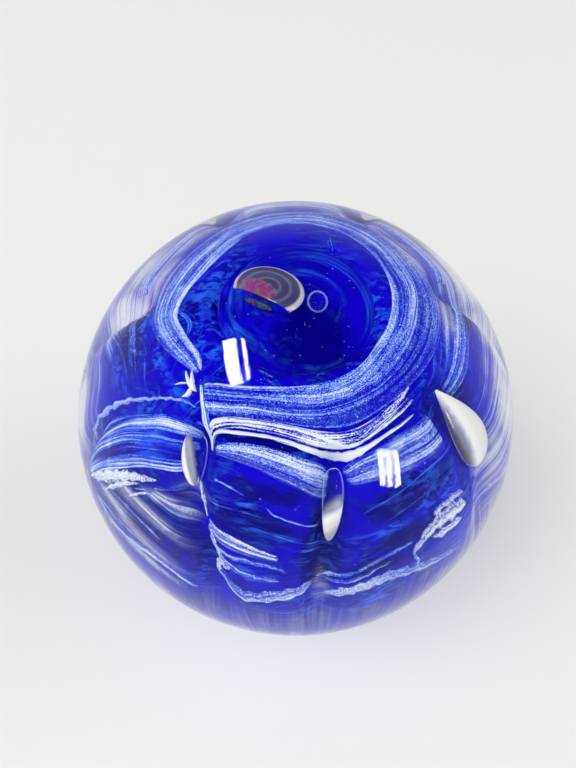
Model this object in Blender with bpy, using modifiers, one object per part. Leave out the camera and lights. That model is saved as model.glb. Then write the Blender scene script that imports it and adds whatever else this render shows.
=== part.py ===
"""Art-glass paperweight: a lobed cobalt core, wrapped in white ribbons and trapped bubbles, cased in clear glass.

Metres, +Z up, origin at the middle of the ground base. Places on the core are given as (azimuth, polar) in
degrees: azimuth 0 faces the front (-Y) and turns towards +X, polar is measured down from the top pole.
"""

import math

import bmesh
import bpy
from mathutils import Matrix, Vector

# Driving dimensions.
DOME_RADIUS = 0.040
DOME_CENTRE_Z = 0.031
CORE_RADIUS = 0.0288
CLEARANCE = 0.0003
RIBBON_THICKNESS = 0.00045
CAVITY_RADIUS = 0.0300
BASE_CHAMFER = 0.0006

# The pit in the core's top that holds the eye, and the clear plug that fills it.
PIT_DEPTH = 0.0030
PIT_FLOOR_POLAR = 23.0
PIT_RIM_POLAR = 27.5
EYE_POLAR = 22.2
EYE_THICKNESS = 0.0008
PLUG_POLAR = 22.0
PLUG_SHOULDER_POLAR = 26.0
EYE_TOP_RADIUS = CORE_RADIUS - PIT_DEPTH + CLEARANCE + EYE_THICKNESS
PLUG_RADIUS = EYE_TOP_RADIUS + CLEARANCE

# The foot, where the core's own glass comes through the casing to the ground base.
FOOT_RADIUS = 0.011
FOOT_NECK = ((0.0122, 0.0049), (0.0112, 0.0036), (FOOT_RADIUS, 0.0025), (FOOT_RADIUS, CLEARANCE))
CASING_NECK = ((0.0129, 0.0039), (0.0116, 0.0030), (FOOT_RADIUS + CLEARANCE, 0.0022))

# Creases pinched into the core: azimuth at the shoulder, azimuth at the waist, half-width and depth.
CREASES = (
    (-66.0, -84.0, 0.0018, 0.0022),
    (-39.0, -24.0, 0.0028, 0.0032),
    (14.0, 7.5, 0.0025, 0.0032),
    (66.0, 71.0, 0.0042, 0.0034),
    (116.0, 112.0, 0.0026, 0.0030),
    (160.0, 164.0, 0.0026, 0.0030),
    (204.0, 200.0, 0.0026, 0.0030),
    (252.0, 248.0, 0.0026, 0.0030),
)
CREASE_TURN = (45.0, 105.0)
CREASE_START = (46.0, 53.0)
CREASE_END = (104.0, 132.0)

TURN_STEPS = 48
SEGMENTS_PER_LOBE = 7
COLUMN_CROWDING = 0.12
RIBBON_SEGMENT = math.radians(3.2) * CORE_RADIUS
# Rings of the core down to its neck: (ring, polar angle) between which they are evenly spaced.
RING_STOPS = ((0, 0.0), (3, PIT_FLOOR_POLAR), (5, PIT_RIM_POLAR), (9, 46.0), (13, 54.0), (22, 104.0), (30, 150.0))
SPHERE_RINGS, NECK_POLAR = RING_STOPS[-1]
CORE_RINGS = SPHERE_RINGS + len(FOOT_NECK) + 1

# Ribbons: (azimuth, polar, half-width), all in degrees, from one end to the other.
SWIRL_COLLAR = (
    (-45, 36.4, 2.2), (-35, 34.6, 4.2), (-15, 33.4, 5.0), (0, 33.4, 5.0), (30, 33.6, 5.2), (50, 33.2, 5.8),
    (70, 35.4, 8.0), (90, 36.4, 8.0), (120, 38.0, 7.2), (150, 38.4, 6.8), (180, 39.2, 6.0), (210, 39.2, 5.6),
    (240, 38.4, 6.2), (265, 38.4, 4.2), (285, 36.6, 3.0), (301, 35.4, 1.5),
)
COLLAR_FOLD = ((-46.5, 41.6, 1.2), (-41.5, 44.6, 1.4), (-37.5, 47.6, 1.0))
UPPER_CREST = (
    (-33, 52.0, 0.8), (-31, 46.6, 1.0), (-24, 41.7, 1.1), (-13, 40.4, 1.1), (0, 41.2, 1.1), (8, 43.4, 1.1),
    (16, 45.4, 1.0), (28, 44.2, 0.9), (40, 42.6, 0.8), (52, 41.9, 0.6),
)
LOWER_CREST = (
    (-28.5, 49.6, 0.8), (-22, 45.2, 1.1), (-10, 43.9, 1.1), (3, 45.2, 1.1), (11, 48.3, 1.1), (17, 50.6, 1.1),
    (26, 50.0, 1.0), (40, 48.6, 0.9), (54, 47.0, 0.7),
)
SHOULDER_BANDS = {
    1: (
        (-46, 53.0, 2.2), (-53, 58.5, 3.8), (-59, 66.5, 4.6), (-64, 76.0, 4.6), (-68, 86.0, 4.0), (-71, 94.0, 2.4),
    ),
    2: ((-27, 52.8, 1.8), (-19, 50.6, 3.2), (-10, 50.6, 3.4), (-2, 52.6, 3.4), (6.0, 56.0, 2.4)),
    3: ((20.5, 57.6, 2.6), (29, 57.3, 4.0), (38, 56.8, 4.8), (47, 56.6, 5.2), (55, 57.2, 4.6)),
}
LOWER_BANDS = {
    1: ((-72, 102.0, 1.2), (-60, 100.6, 1.3), (-46, 100.2, 1.3), (-33, 103.6, 1.1)),
    2: ((-22, 100.6, 1.2), (-15, 103.8, 1.5), (-7, 101.4, 1.5), (2, 98.8, 1.2)),
    3: ((13, 102.6, 1.2), (18, 99.6, 1.5), (26, 98.4, 1.5), (35, 101.2, 1.5), (45, 104.0, 1.4), (54, 106.0, 1.0)),
}
# The far lobes' bands: polar angle at a crease, how far the band's middle rises, and half-width.
HIDDEN_SHOULDER = (57.0, 3.0, 3.6)
HIDDEN_WAIST = (102.5, -2.5, 1.4)
HIDDEN_CREASE_GAP = 8.0
HIDDEN_END_WIDTH = 0.6
LOBE_EDGE = ((-37, 69.5, 0.9), (-46, 74.0, 1.3), (-56, 84.0, 1.5), (-65, 95.0, 1.0))
UPPER_HATCH = ((-23.5, 78.4, 1.2), (-15, 80.6, 1.4), (-5, 83.2, 0.9))
LOWER_HATCH = ((-20.5, 84.0, 1.0), (-11, 85.6, 1.3), (-3, 88.4, 0.9))

# Teardrop bubbles in the creases: crease number, top and bottom polar angle, half-width, half-thickness, and
# where along its length it is fattest (0 is its top, 1 its bottom).
TEARDROPS = {
    "teardrop_bubble_left": (1, 50.5, 66.5, 0.0022, 0.0011, 0.42),
    "teardrop_bubble_front": (2, 54.0, 77.5, 0.0016, 0.0011, 0.38),
    "teardrop_bubble_right": (3, 50.0, 83.5, 0.0036, 0.0012, 0.70),
    "teardrop_bubble_back_1": (5, 82.0, 98.0, 0.0020, 0.0010, 0.42),
    "teardrop_bubble_back_2": (6, 80.0, 99.0, 0.0022, 0.0010, 0.50),
}
TEARDROP_MID_RADIUS = 0.0283

# Bubbles standing on the eye: azimuth, polar angle of the middle, and semi-axes across, back and up. The large one
# is cut flat in front, and turned about the line straight out of the glass.
EYE_BUBBLE = (-104.0, 8.2)
EYE_BUBBLE_TURN = -33.0
EYE_BUBBLE_AXES = (0.0056, 0.0042, 0.0015)
EYE_BUBBLE_FLAT = -0.0021
SMALL_BUBBLE = (73.0, 6.5)
SMALL_BUBBLE_AXES = (0.0015, 0.0018, 0.0013)
FLECK_AXES = (0.0024, 0.00045, 0.0007)
FLECK_FORWARD = EYE_BUBBLE_FLAT - CLEARANCE - FLECK_AXES[1]

SPLINTER = (-54.0, 41.8)
SPLINTER_RADIUS = 0.0016
SPLINTER_WAIST = 0.0005
SPLINTER_POINTS = 5
LUMP = (50.0, 87.0)
LUMP_AXES = (0.0031, 0.0019, 0.00026)

COBALT = (0.012, 0.004, 0.50)
DEEP_COBALT = (0.008, 0.002, 0.38)
ICE_BLUE = (0.30, 0.42, 0.80)
FRIT_BLUE = (0.42, 0.52, 0.84)
MILK_WHITE = (0.86, 0.86, 0.84)
CLEAR = (0.96, 0.97, 1.0)
AIR = (0.80, 0.82, 0.86)
OIL_FILM = (0.55, 0.30, 0.52)


def clear_scene():
    for obj in list(bpy.data.objects):
        bpy.data.objects.remove(obj, do_unlink=True)


def make_collection(name):
    collection = bpy.data.collections.new(name)
    bpy.context.scene.collection.children.link(collection)
    return collection


def glass_material(name, colour, roughness, transmission=0.0):
    material = bpy.data.materials.new(name)
    material.use_nodes = True
    shader = material.node_tree.nodes["Principled BSDF"]
    shader.inputs["Base Color"].default_value = (*colour, 1.0)
    shader.inputs["Roughness"].default_value = roughness
    shader.inputs["Metallic"].default_value = 0.0
    shader.inputs["Transmission Weight"].default_value = transmission
    return material


def add_object(name, mesh, collection, material=None):
    obj = bpy.data.objects.new(name, mesh)
    collection.objects.link(obj)
    if material:
        mesh.materials.append(material)
    return obj


def smooth_step(value, low, high):
    part = min(max((value - low) / (high - low), 0.0), 1.0)
    return part * part * (3.0 - 2.0 * part)


def crease_azimuth(index, polar):
    """Azimuth of a crease at a polar angle, counted on past 360 degrees for the creases after the last."""
    turn, index = divmod(index, len(CREASES))
    shoulder, waist = CREASES[index][:2]
    return shoulder + (waist - shoulder) * smooth_step(polar, *CREASE_TURN) + 360.0 * turn


def core_radius(azimuth, polar):
    """Distance from the dome's centre to the core's surface."""
    window = smooth_step(polar, *CREASE_START) * (1.0 - smooth_step(polar, *CREASE_END))
    groove = 0.0
    for index, (_, _, half_width, depth) in enumerate(CREASES):
        offset = (azimuth - crease_azimuth(index, polar) + 180.0) % 360.0 - 180.0
        across = math.radians(offset) * math.sin(math.radians(polar)) * CORE_RADIUS
        groove = max(groove, depth * math.exp(-((across / half_width) ** 2)))
    pit = PIT_DEPTH * (1.0 - smooth_step(polar, PIT_FLOOR_POLAR, PIT_RIM_POLAR))
    return CORE_RADIUS - groove * window - pit


def on_sphere(azimuth, polar, radius):
    """Point at this distance from the dome's centre."""
    turn, tilt = math.radians(azimuth), math.radians(polar)
    outward = Vector((math.sin(tilt) * math.sin(turn), -math.sin(tilt) * math.cos(turn), math.cos(tilt)))
    return Vector((0.0, 0.0, DOME_CENTRE_Z)) + outward * radius


def to_angles(direction):
    """(azimuth, polar) in degrees of a direction from the dome's centre."""
    polar = math.degrees(math.acos(max(-1.0, min(1.0, direction.normalized().z))))
    return math.degrees(math.atan2(direction.x, -direction.y)), polar


def local_frame(azimuth, polar, radius, turn=0.0):
    """Frame at a place on the core, turned about its Z: X across, Y away from the front, Z straight out."""
    out = (on_sphere(azimuth, polar, 1.0) - on_sphere(azimuth, polar, 0.0)).normalized()
    across = Vector((0.0, 1.0, 0.0)).cross(out).normalized()
    axes = Matrix((across, out.cross(across), out)).transposed().to_4x4()
    return Matrix.Translation(on_sphere(azimuth, polar, radius)) @ axes @ Matrix.Rotation(math.radians(turn), 4, "Z")


def catmull_rom(points, steps):
    """Points along a smooth curve through the given ones, with this many steps in all."""
    points = [Vector(point) for point in points]
    ends = [2 * points[0] - points[1], *points, 2 * points[-1] - points[-2]]
    found = []
    for step in range(steps + 1):
        place = step / steps * (len(points) - 1)
        index = min(int(place), len(points) - 2)
        t = place - index
        a, b, c, d = ends[index:index + 4]
        bend = (2 * a - 5 * b + 4 * c - d) * t * t + (3 * b - a - 3 * c + d) * t * t * t
        found.append((2 * b + (c - a) * t + bend) / 2)
    return found


def path_length(points):
    """Length on the core's sphere of a line through (azimuth, polar, ...) points."""
    places = [on_sphere(point[0], point[1], CORE_RADIUS) for point in points]
    return sum((b - a).length for a, b in zip(places, places[1:]))


def dome_arc(radius, start, end, steps):
    """(x, z) points of an arc about the dome's centre, between two polar angles."""
    angles = [math.radians(start + (end - start) * step / steps) for step in range(steps + 1)]
    return [(radius * math.sin(angle), DOME_CENTRE_Z + radius * math.cos(angle)) for angle in angles]


def turned(name, profile, collection, material):
    """Solid of revolution about Z, from an (x, z) profile that runs down its outer side first."""
    mesh = bpy.data.meshes.new(name)
    edges = [(index, index + 1) for index in range(len(profile) - 1)]
    mesh.from_pydata([(x, 0.0, z) for x, z in profile], edges, [])
    obj = add_object(name, mesh, collection, material)
    screw = obj.modifiers.new("Turn", "SCREW")
    screw.steps = screw.render_steps = TURN_STEPS
    screw.use_merge_vertices = True
    screw.merge_threshold = 0.00001
    screw.use_smooth_shade = True
    return obj


def cut(obj, cutter, name):
    boolean = obj.modifiers.new(name, "BOOLEAN")
    boolean.operation = "DIFFERENCE"
    boolean.solver = "EXACT"
    boolean.object = cutter


def hide_cutter(cutter):
    cutter.hide_render = True
    cutter.display_type = "WIRE"


def clear_casing(collection, material):
    """Clear glass gathered over the core: domed outside, ground flat, with a neck that the core's foot fills."""
    base_polar = math.degrees(math.acos(-DOME_CENTRE_Z / DOME_RADIUS))
    chamfer_polar = base_polar - math.degrees(BASE_CHAMFER / DOME_RADIUS)
    base_radius = DOME_RADIUS * math.sin(math.radians(base_polar))
    outside = dome_arc(DOME_RADIUS, 0.0, chamfer_polar, 24)
    base = [(base_radius - BASE_CHAMFER, 0.0), (FOOT_RADIUS + CLEARANCE, 0.0), *reversed(CASING_NECK)]
    cavity = dome_arc(CAVITY_RADIUS, NECK_POLAR, PIT_RIM_POLAR, 15)
    plug = dome_arc(PLUG_RADIUS, PLUG_POLAR, 0.0, 3)
    shoulder = dome_arc(CAVITY_RADIUS, PLUG_SHOULDER_POLAR, PLUG_SHOULDER_POLAR, 1)[:1]
    return turned("clear_casing", outside + base + cavity + shoulder + plug, collection, material)


def ring_polar(row):
    """Polar angle of a ring of the core, counted from the top. The neck's rings keep the last one's."""
    for (low, start), (high, end) in zip(RING_STOPS, RING_STOPS[1:]):
        if row <= high:
            return start + (end - start) * (row - low) / (high - low)
    return NECK_POLAR


def lobe_share(step):
    """Where a column stands between two creases: columns crowd towards both creases."""
    share = step / SEGMENTS_PER_LOBE
    return share - COLUMN_CROWDING * math.sin(2.0 * math.pi * share)


def cobalt_core(collection, material):
    """The core: a uv-sphere whose rings are moved to the lobed surface, and at the bottom to the foot."""
    columns = SEGMENTS_PER_LOBE * len(CREASES)
    shape = bmesh.new()
    bmesh.ops.create_uvsphere(shape, u_segments=columns, v_segments=CORE_RINGS, radius=1.0)
    for vertex in shape.verts:
        row = round(math.acos(max(-1.0, min(1.0, vertex.co.z))) / math.pi * CORE_RINGS)
        if row == 0:
            vertex.co = on_sphere(0.0, 0.0, core_radius(0.0, 0.0))
            continue
        if row == CORE_RINGS:
            vertex.co = Vector((0.0, 0.0, CLEARANCE))
            continue
        column = round(math.atan2(vertex.co.y, vertex.co.x) / (2.0 * math.pi) * columns) % columns
        lobe, step = divmod(column, SEGMENTS_PER_LOBE)
        polar = ring_polar(row)
        first, second = crease_azimuth(lobe, polar), crease_azimuth(lobe + 1, polar)
        azimuth = first + (second - first) * lobe_share(step)
        if row <= SPHERE_RINGS:
            vertex.co = on_sphere(azimuth, polar, core_radius(azimuth, polar))
        else:
            radius, height = FOOT_NECK[row - SPHERE_RINGS - 1]
            turn = math.radians(azimuth)
            vertex.co = Vector((radius * math.sin(turn), -radius * math.cos(turn), height))
    bmesh.ops.recalc_face_normals(shape, faces=shape.faces)
    mesh = bpy.data.meshes.new("cobalt_core")
    shape.to_mesh(mesh)
    shape.free()
    mesh.shade_smooth()
    return add_object("cobalt_core", mesh, collection, material)


def eye_disc(collection, material):
    """Deep blue disc that lies on the pit's floor: a turned, curved plate."""
    low = EYE_TOP_RADIUS - EYE_THICKNESS
    profile = dome_arc(EYE_TOP_RADIUS, 0.0, EYE_POLAR, 4) + dome_arc(low, EYE_POLAR, 0.0, 3)
    return turned("eye_disc", profile, collection, material)


def ribbon(name, route, collection, material, strips=2):
    """Thin band of glass laid on the core along a route of (azimuth, polar, half-width) points."""
    steps = max(6, round(path_length(route) / RIBBON_SEGMENT))
    places = catmull_rom(route, steps)
    centre = Vector((0.0, 0.0, DOME_CENTRE_Z))
    middles = [on_sphere(azimuth, polar, CORE_RADIUS) - centre for azimuth, polar, _ in places]
    mesh = bpy.data.meshes.new(name)
    shape = bmesh.new()
    rows = []
    for index, (_, _, half) in enumerate(places):
        along = middles[min(index + 1, steps)] - middles[max(index - 1, 0)]
        side = middles[index].cross(along).normalized()
        reach = math.radians(half) * CORE_RADIUS
        row = []
        for strip in range(strips + 1):
            aim = middles[index] + side * reach * (2.0 * strip / strips - 1.0)
            azimuth, polar = to_angles(aim)
            row.append(shape.verts.new(on_sphere(azimuth, polar, core_radius(azimuth, polar) + CLEARANCE)))
        rows.append(row)
    for near, far in zip(rows, rows[1:]):
        for strip in range(strips):
            shape.faces.new((near[strip], far[strip], far[strip + 1], near[strip + 1]))
    shape.normal_update()
    face = next(iter(shape.faces))
    if face.normal.dot(face.calc_center_median() - centre) < 0.0:
        bmesh.ops.reverse_faces(shape, faces=shape.faces)
    shape.to_mesh(mesh)
    shape.free()
    mesh.shade_smooth()
    obj = add_object(name, mesh, collection, material)
    solid = obj.modifiers.new("Thickness", "SOLIDIFY")
    solid.thickness = RIBBON_THICKNESS
    solid.offset = 1.0
    return obj


def hidden_lobe_route(lobe, polar, rise, half):
    """Route of a band across a lobe, from just past one crease to just before the next."""
    first = crease_azimuth(lobe - 1, polar) + HIDDEN_CREASE_GAP
    second = crease_azimuth(lobe, polar) - HIDDEN_CREASE_GAP
    route = []
    for share in (0.0, 0.25, 0.5, 0.75, 1.0):
        arch = math.sin(math.pi * share)
        width = half * (HIDDEN_END_WIDTH + (1.0 - HIDDEN_END_WIDTH) * arch)
        route.append((first + (second - first) * share, polar - rise * arch, width))
    return route


def lobe_bands(collection, frit, milk):
    """One speckled band on each lobe's shoulder, and one white line round each lobe's waist."""
    for lobe in range(1, len(CREASES) + 1):
        shoulder = SHOULDER_BANDS.get(lobe) or hidden_lobe_route(lobe, *HIDDEN_SHOULDER)
        ribbon(f"shoulder_band_{lobe}", shoulder, collection, frit)
        waist = LOWER_BANDS.get(lobe) or hidden_lobe_route(lobe, *HIDDEN_WAIST)
        ribbon(f"lower_band_{lobe}", waist, collection, milk, strips=1)


def ellipsoid(name, axes, collection, material, u_segments=14, v_segments=8):
    """Sphere scaled to these semi-axes, with the scale in the mesh."""
    shape = bmesh.new()
    bmesh.ops.create_uvsphere(shape, u_segments=u_segments, v_segments=v_segments, radius=1.0)
    bmesh.ops.scale(shape, vec=axes, verts=shape.verts)
    mesh = bpy.data.meshes.new(name)
    shape.to_mesh(mesh)
    shape.free()
    mesh.shade_smooth()
    return add_object(name, mesh, collection, material)


def flatten_front(obj, flat_y):
    """Cuts the object's front off at this local Y, and closes the cut."""
    shape = bmesh.new()
    shape.from_mesh(obj.data)
    geometry = [*shape.verts, *shape.edges, *shape.faces]
    bmesh.ops.bisect_plane(
        shape, geom=geometry, plane_co=(0.0, flat_y, 0.0), plane_no=(0.0, -1.0, 0.0), clear_outer=True
    )
    bmesh.ops.holes_fill(shape, edges=[edge for edge in shape.edges if edge.is_boundary])
    bmesh.ops.recalc_face_normals(shape, faces=shape.faces)
    shape.to_mesh(obj.data)
    shape.free()


def eye_bubbles(collection, cutters, casing, air, film):
    """The large half-round bubble, the small round one and the shimmering fleck, and their pockets in the casing."""
    bubbles = {
        "eye_bubble": (EYE_BUBBLE, EYE_BUBBLE_AXES, EYE_BUBBLE_TURN, EYE_BUBBLE_FLAT),
        "small_bubble": (SMALL_BUBBLE, SMALL_BUBBLE_AXES, 0.0, None),
    }
    for name, (place, axes, turn, flat) in bubbles.items():
        frame = local_frame(*place, PLUG_RADIUS + axes[2], turn)
        grown = [axis + CLEARANCE for axis in axes]
        pocket = ellipsoid(f"{name}_pocket", grown, cutters, None)
        bubble = ellipsoid(name, axes, collection, air)
        if flat is not None:
            flatten_front(bubble, flat)
        for obj in (bubble, pocket):
            obj.matrix_world = frame
        hide_cutter(pocket)
        cut(casing, pocket, f"{name} pocket")
    fleck = ellipsoid("iridescent_fleck", FLECK_AXES, collection, film, 10, 6)
    forward = Matrix.Translation((0.0, FLECK_FORWARD, 0.0))
    bubble_frame = local_frame(*EYE_BUBBLE, PLUG_RADIUS + EYE_BUBBLE_AXES[2], EYE_BUBBLE_TURN)
    fleck.matrix_world = bubble_frame @ forward


def teardrop(name, spec, collection, material):
    """Air trapped in a crease: a uv-sphere drawn out along the crease and flattened against the core."""
    crease, top, bottom, half_width, half_thickness, fattest = spec
    shape = bmesh.new()
    bmesh.ops.create_uvsphere(shape, u_segments=12, v_segments=9, radius=1.0)
    bend = math.log(0.5) / math.log(fattest)
    for vertex in shape.verts:
        across, out, up = vertex.co
        share = ((1.0 - up) / 2.0) ** (1.0 / bend)
        polar = top + (bottom - top) * share
        turn = math.degrees(across * half_width / (CORE_RADIUS * math.sin(math.radians(polar))))
        azimuth = crease_azimuth(crease, polar) + turn
        vertex.co = on_sphere(azimuth, polar, TEARDROP_MID_RADIUS + out * half_thickness)
    # Across, out and up are a left-handed set, so the sphere comes out mirrored.
    bmesh.ops.reverse_faces(shape, faces=shape.faces)
    mesh = bpy.data.meshes.new(name)
    shape.to_mesh(mesh)
    shape.free()
    mesh.shade_smooth()
    return add_object(name, mesh, collection, material)


def star_splinter(collection, material):
    """Small white star where the swirl's two ends meet: a flat star outline given a thickness."""
    shape = bmesh.new()
    count = 2 * SPLINTER_POINTS
    lift = CORE_RADIUS + CLEARANCE
    frame = local_frame(*SPLINTER, lift)
    corners = []
    for index in range(count):
        reach = SPLINTER_WAIST if index % 2 else SPLINTER_RADIUS
        turn = 2.0 * math.pi * index / count
        sag = reach * reach / (2.0 * lift)
        corners.append(shape.verts.new(frame @ Vector((reach * math.cos(turn), reach * math.sin(turn), -sag))))
    middle = shape.verts.new(frame @ Vector((0.0, 0.0, 0.0)))
    for index in range(count):
        shape.faces.new((middle, corners[index], corners[(index + 1) % count]))
    mesh = bpy.data.meshes.new("star_splinter")
    shape.to_mesh(mesh)
    shape.free()
    obj = add_object("star_splinter", mesh, collection, material)
    solid = obj.modifiers.new("Thickness", "SOLIDIFY")
    solid.thickness = RIBBON_THICKNESS
    solid.offset = 1.0
    return obj


def white_lump(collection, material):
    """Crusty clot of white at the right lobe's waist: a flat ellipsoid bent onto the core."""
    obj = ellipsoid("white_lump", LUMP_AXES, collection, material)
    radius = CORE_RADIUS + CLEARANCE + LUMP_AXES[2]
    for vertex in obj.data.vertices:
        vertex.co.z -= (vertex.co.x ** 2 + vertex.co.y ** 2) / (2.0 * radius)
    obj.matrix_world = local_frame(*LUMP, radius)
    return obj


def main():
    clear_scene()
    parts = make_collection("paperweight")
    cutters = make_collection("cutters")
    clear = glass_material("clear_glass", CLEAR, 0.03, transmission=1.0)
    cobalt = glass_material("cobalt_glass", COBALT, 0.15)
    deep = glass_material("deep_cobalt_glass", DEEP_COBALT, 0.10)
    ice = glass_material("ice_blue_glass", ICE_BLUE, 0.25)
    frit = glass_material("speckled_frit", FRIT_BLUE, 0.40)
    milk = glass_material("milk_white_glass", MILK_WHITE, 0.35)
    air = glass_material("trapped_air", AIR, 0.05, transmission=1.0)
    film = glass_material("oil_film", OIL_FILM, 0.15)

    casing = clear_casing(parts, clear)
    cobalt_core(parts, cobalt)
    eye_disc(parts, deep)
    ribbon("swirl_collar", SWIRL_COLLAR, parts, ice, strips=3)
    ribbon("collar_fold", COLLAR_FOLD, parts, ice, strips=1)
    ribbon("upper_crest", UPPER_CREST, parts, milk, strips=1)
    ribbon("lower_crest", LOWER_CREST, parts, milk, strips=1)
    lobe_bands(parts, frit, milk)
    ribbon("left_lobe_edge", LOBE_EDGE, parts, milk, strips=1)
    ribbon("upper_hatch", UPPER_HATCH, parts, milk, strips=1)
    ribbon("lower_hatch", LOWER_HATCH, parts, milk, strips=1)
    eye_bubbles(parts, cutters, casing, air, film)
    for name, spec in TEARDROPS.items():
        teardrop(name, spec, parts, air)
    star_splinter(parts, milk)
    white_lump(parts, milk)


main()
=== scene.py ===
"""Looks of the art-glass paperweight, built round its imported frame.

Metres, +Z up. Places on the core are (azimuth, polar) in degrees: azimuth 0 faces the front (-Y) and turns
towards +X, polar is measured down from the top pole. The clear dome is one solid of glass, and everything
inside it lies straight in that glass, so only the dome and the bubbles bend light.
"""

import math
from functools import cache

import bpy
import numpy as np
from mathutils import Matrix, Vector


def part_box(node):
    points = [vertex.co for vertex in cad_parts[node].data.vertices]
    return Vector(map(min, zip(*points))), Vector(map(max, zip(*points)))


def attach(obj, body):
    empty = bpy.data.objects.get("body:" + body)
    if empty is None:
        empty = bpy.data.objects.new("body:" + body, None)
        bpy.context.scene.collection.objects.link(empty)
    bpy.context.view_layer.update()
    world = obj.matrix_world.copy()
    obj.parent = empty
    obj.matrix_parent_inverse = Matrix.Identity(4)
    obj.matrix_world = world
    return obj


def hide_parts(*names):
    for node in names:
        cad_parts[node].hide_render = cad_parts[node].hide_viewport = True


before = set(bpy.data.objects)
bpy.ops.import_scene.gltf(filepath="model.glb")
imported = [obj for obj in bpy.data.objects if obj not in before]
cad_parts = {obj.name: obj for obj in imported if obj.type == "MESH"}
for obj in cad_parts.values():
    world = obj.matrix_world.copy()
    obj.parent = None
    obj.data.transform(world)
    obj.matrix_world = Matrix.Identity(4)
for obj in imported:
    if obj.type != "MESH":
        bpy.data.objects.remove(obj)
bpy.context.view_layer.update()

DOME_LOW, DOME_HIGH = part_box("clear_casing")
DOME_RADIUS = round((DOME_HIGH.x - DOME_LOW.x) / 2.0, 4)
CENTRE = np.array((0.0, 0.0, DOME_HIGH.z - DOME_RADIUS))
BASE_Z = DOME_LOW.z
CORE_RADIUS = 0.72 * DOME_RADIUS
FOOT_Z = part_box("cobalt_core")[0].z
MM = 1000.0
GLASS_IOR = 1.5

# The pit in the core's top, as on the CAD core.
PIT_DEPTH = 0.0030
PIT_FLOOR_POLAR = 23.0
PIT_RIM_POLAR = 27.5
NECK_POLAR = 150.0
FOOT_PROFILE = ((0.0122, 0.0049), (0.0112, 0.0036), (0.0110, 0.0025), (0.0110, FOOT_Z))

# Creases: azimuth at the shoulder, azimuth at the waist, half-width and depth, as on the CAD core.
CREASES = (
    (-66, -84, 0.0018, 0.0022), (-39, -24, 0.0028, 0.0032), (14, 7.5, 0.0025, 0.0032), (66, 71, 0.0042, 0.0034),
    (116, 112, 0.0026, 0.003), (160, 164, 0.0026, 0.003), (204, 200, 0.0026, 0.003), (252, 248, 0.0026, 0.003),
)
CREASE_TURN = (45.0, 105.0)
CREASE_START = (46.0, 53.0)
CREASE_END = (104.0, 132.0)

# Camera: straight in front, this far above the horizon, aimed a little off the dome's centre.
CAMERA_ELEVATION = 52.0
CAMERA_DISTANCE = 0.2003
CAMERA_AIM = Vector((-0.0014, 0.0047, 0.0040))
LENS_MM = 50.0
SENSOR_MM = 36.0

NAVY = (0.0015, 0.0002, 0.190)
ROYAL = (0.0052, 0.0006, 0.570)
AZURE = (0.0200, 0.1250, 0.860)
ICE = (0.2600, 0.4200, 0.900)
# The next two colours tint hazy glass and also the painted rim light.
MIST_AND_RIM_LIGHT = (0.6000, 0.6150, 0.760)
PALE_HAZE_AND_RIM_LIGHT = (0.7900, 0.7900, 0.835)
MILK = (0.8200, 0.8600, 0.930)
# CREAM is used only on the bubbles, as painted reflection of the pale floor.
CREAM = (0.8000, 0.7900, 0.730)
SEED_COLOUR = (0.55, 0.66, 0.92)
CLEAR = (0.985, 0.990, 1.0, 1.0)
AIR_TINT = (0.93, 0.95, 1.0, 1.0)
SHADE = (0.97, 0.98, 1.0, 1.0)

# Threads in the glass: how far they bend in mm, then for each layer its scale along and across, weight and seed.
THREAD_BEND = 1.6
THREAD_LAYERS = ((0.022, 0.62, 0.30, 0.0), (0.034, 2.00, 0.36, 17.0), (0.080, 5.40, 0.34, 31.0))
GRAIN, DRIFT, FAINT_WISPS, THICK_HAZE_AND_RIM_LIGHT = 2.6, 0.9, 0.42, 0.55
# Seed bubbles: cells to a mm, radius as a share of a cell, and the share of cells that hold one.
SEED_BUBBLES = ((0.80, 0.115, 0.14), (1.60, 0.16, 0.10))


# Shape helpers ----------------------------------------


def smooth(value, low, high):
    part = np.clip((np.asarray(value, float) - low) / (high - low), 0.0, 1.0)
    return part * part * (3.0 - 2.0 * part)


def turn_between(azimuth, other):
    """Signed degrees from other to azimuth, the short way round."""
    return (azimuth - other + 180.0) % 360.0 - 180.0


def crease_azimuth(index, polar):
    """Azimuth of a crease at a polar angle, counted on past 360 degrees for the creases after the last."""
    turn, index = divmod(index, len(CREASES))
    shoulder, waist = CREASES[index][:2]
    return shoulder + (waist - shoulder) * smooth(polar, *CREASE_TURN) + 360.0 * turn


def core_radius(azimuth, polar):
    """Distance from the dome's centre to the core's surface."""
    window = smooth(polar, *CREASE_START) * (1.0 - smooth(polar, *CREASE_END))
    groove = np.zeros_like(azimuth + polar)
    for index, (_, _, half, depth) in enumerate(CREASES):
        turned = turn_between(azimuth, crease_azimuth(index, polar))
        across = np.radians(turned) * np.sin(np.radians(polar)) * CORE_RADIUS
        groove = np.maximum(groove, depth * np.exp(-((across / half) ** 2)))
    pit = PIT_DEPTH * (1.0 - smooth(polar, PIT_FLOOR_POLAR, PIT_RIM_POLAR))
    return CORE_RADIUS - groove * window - pit


def directions(azimuth, polar):
    turn, tilt = np.radians(azimuth), np.radians(polar)
    turn, tilt = np.broadcast_arrays(turn, tilt)
    parts = (np.sin(tilt) * np.sin(turn), -np.sin(tilt) * np.cos(turn), np.cos(tilt))
    return np.stack(parts, axis=-1)


def on_sphere(azimuth, polar, radius):
    return CENTRE + directions(azimuth, polar) * np.asarray(radius)[..., None]


def to_angles(vectors):
    unit = vectors / np.linalg.norm(vectors, axis=-1, keepdims=True)
    polar = np.degrees(np.arccos(np.clip(unit[..., 2], -1.0, 1.0)))
    return np.degrees(np.arctan2(unit[..., 0], -unit[..., 1])), polar


def wander(along, seed, wavelength):
    """Smooth random line of about unit size along a length, the same for the same seed."""
    rng = np.random.default_rng(seed)
    total = np.zeros_like(along)
    for octave in range(3):
        length = wavelength / 1.7**octave
        total += np.sin(2 * math.pi * (along / length + rng.random())) * (0.55**octave)
    return total / 1.6


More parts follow.
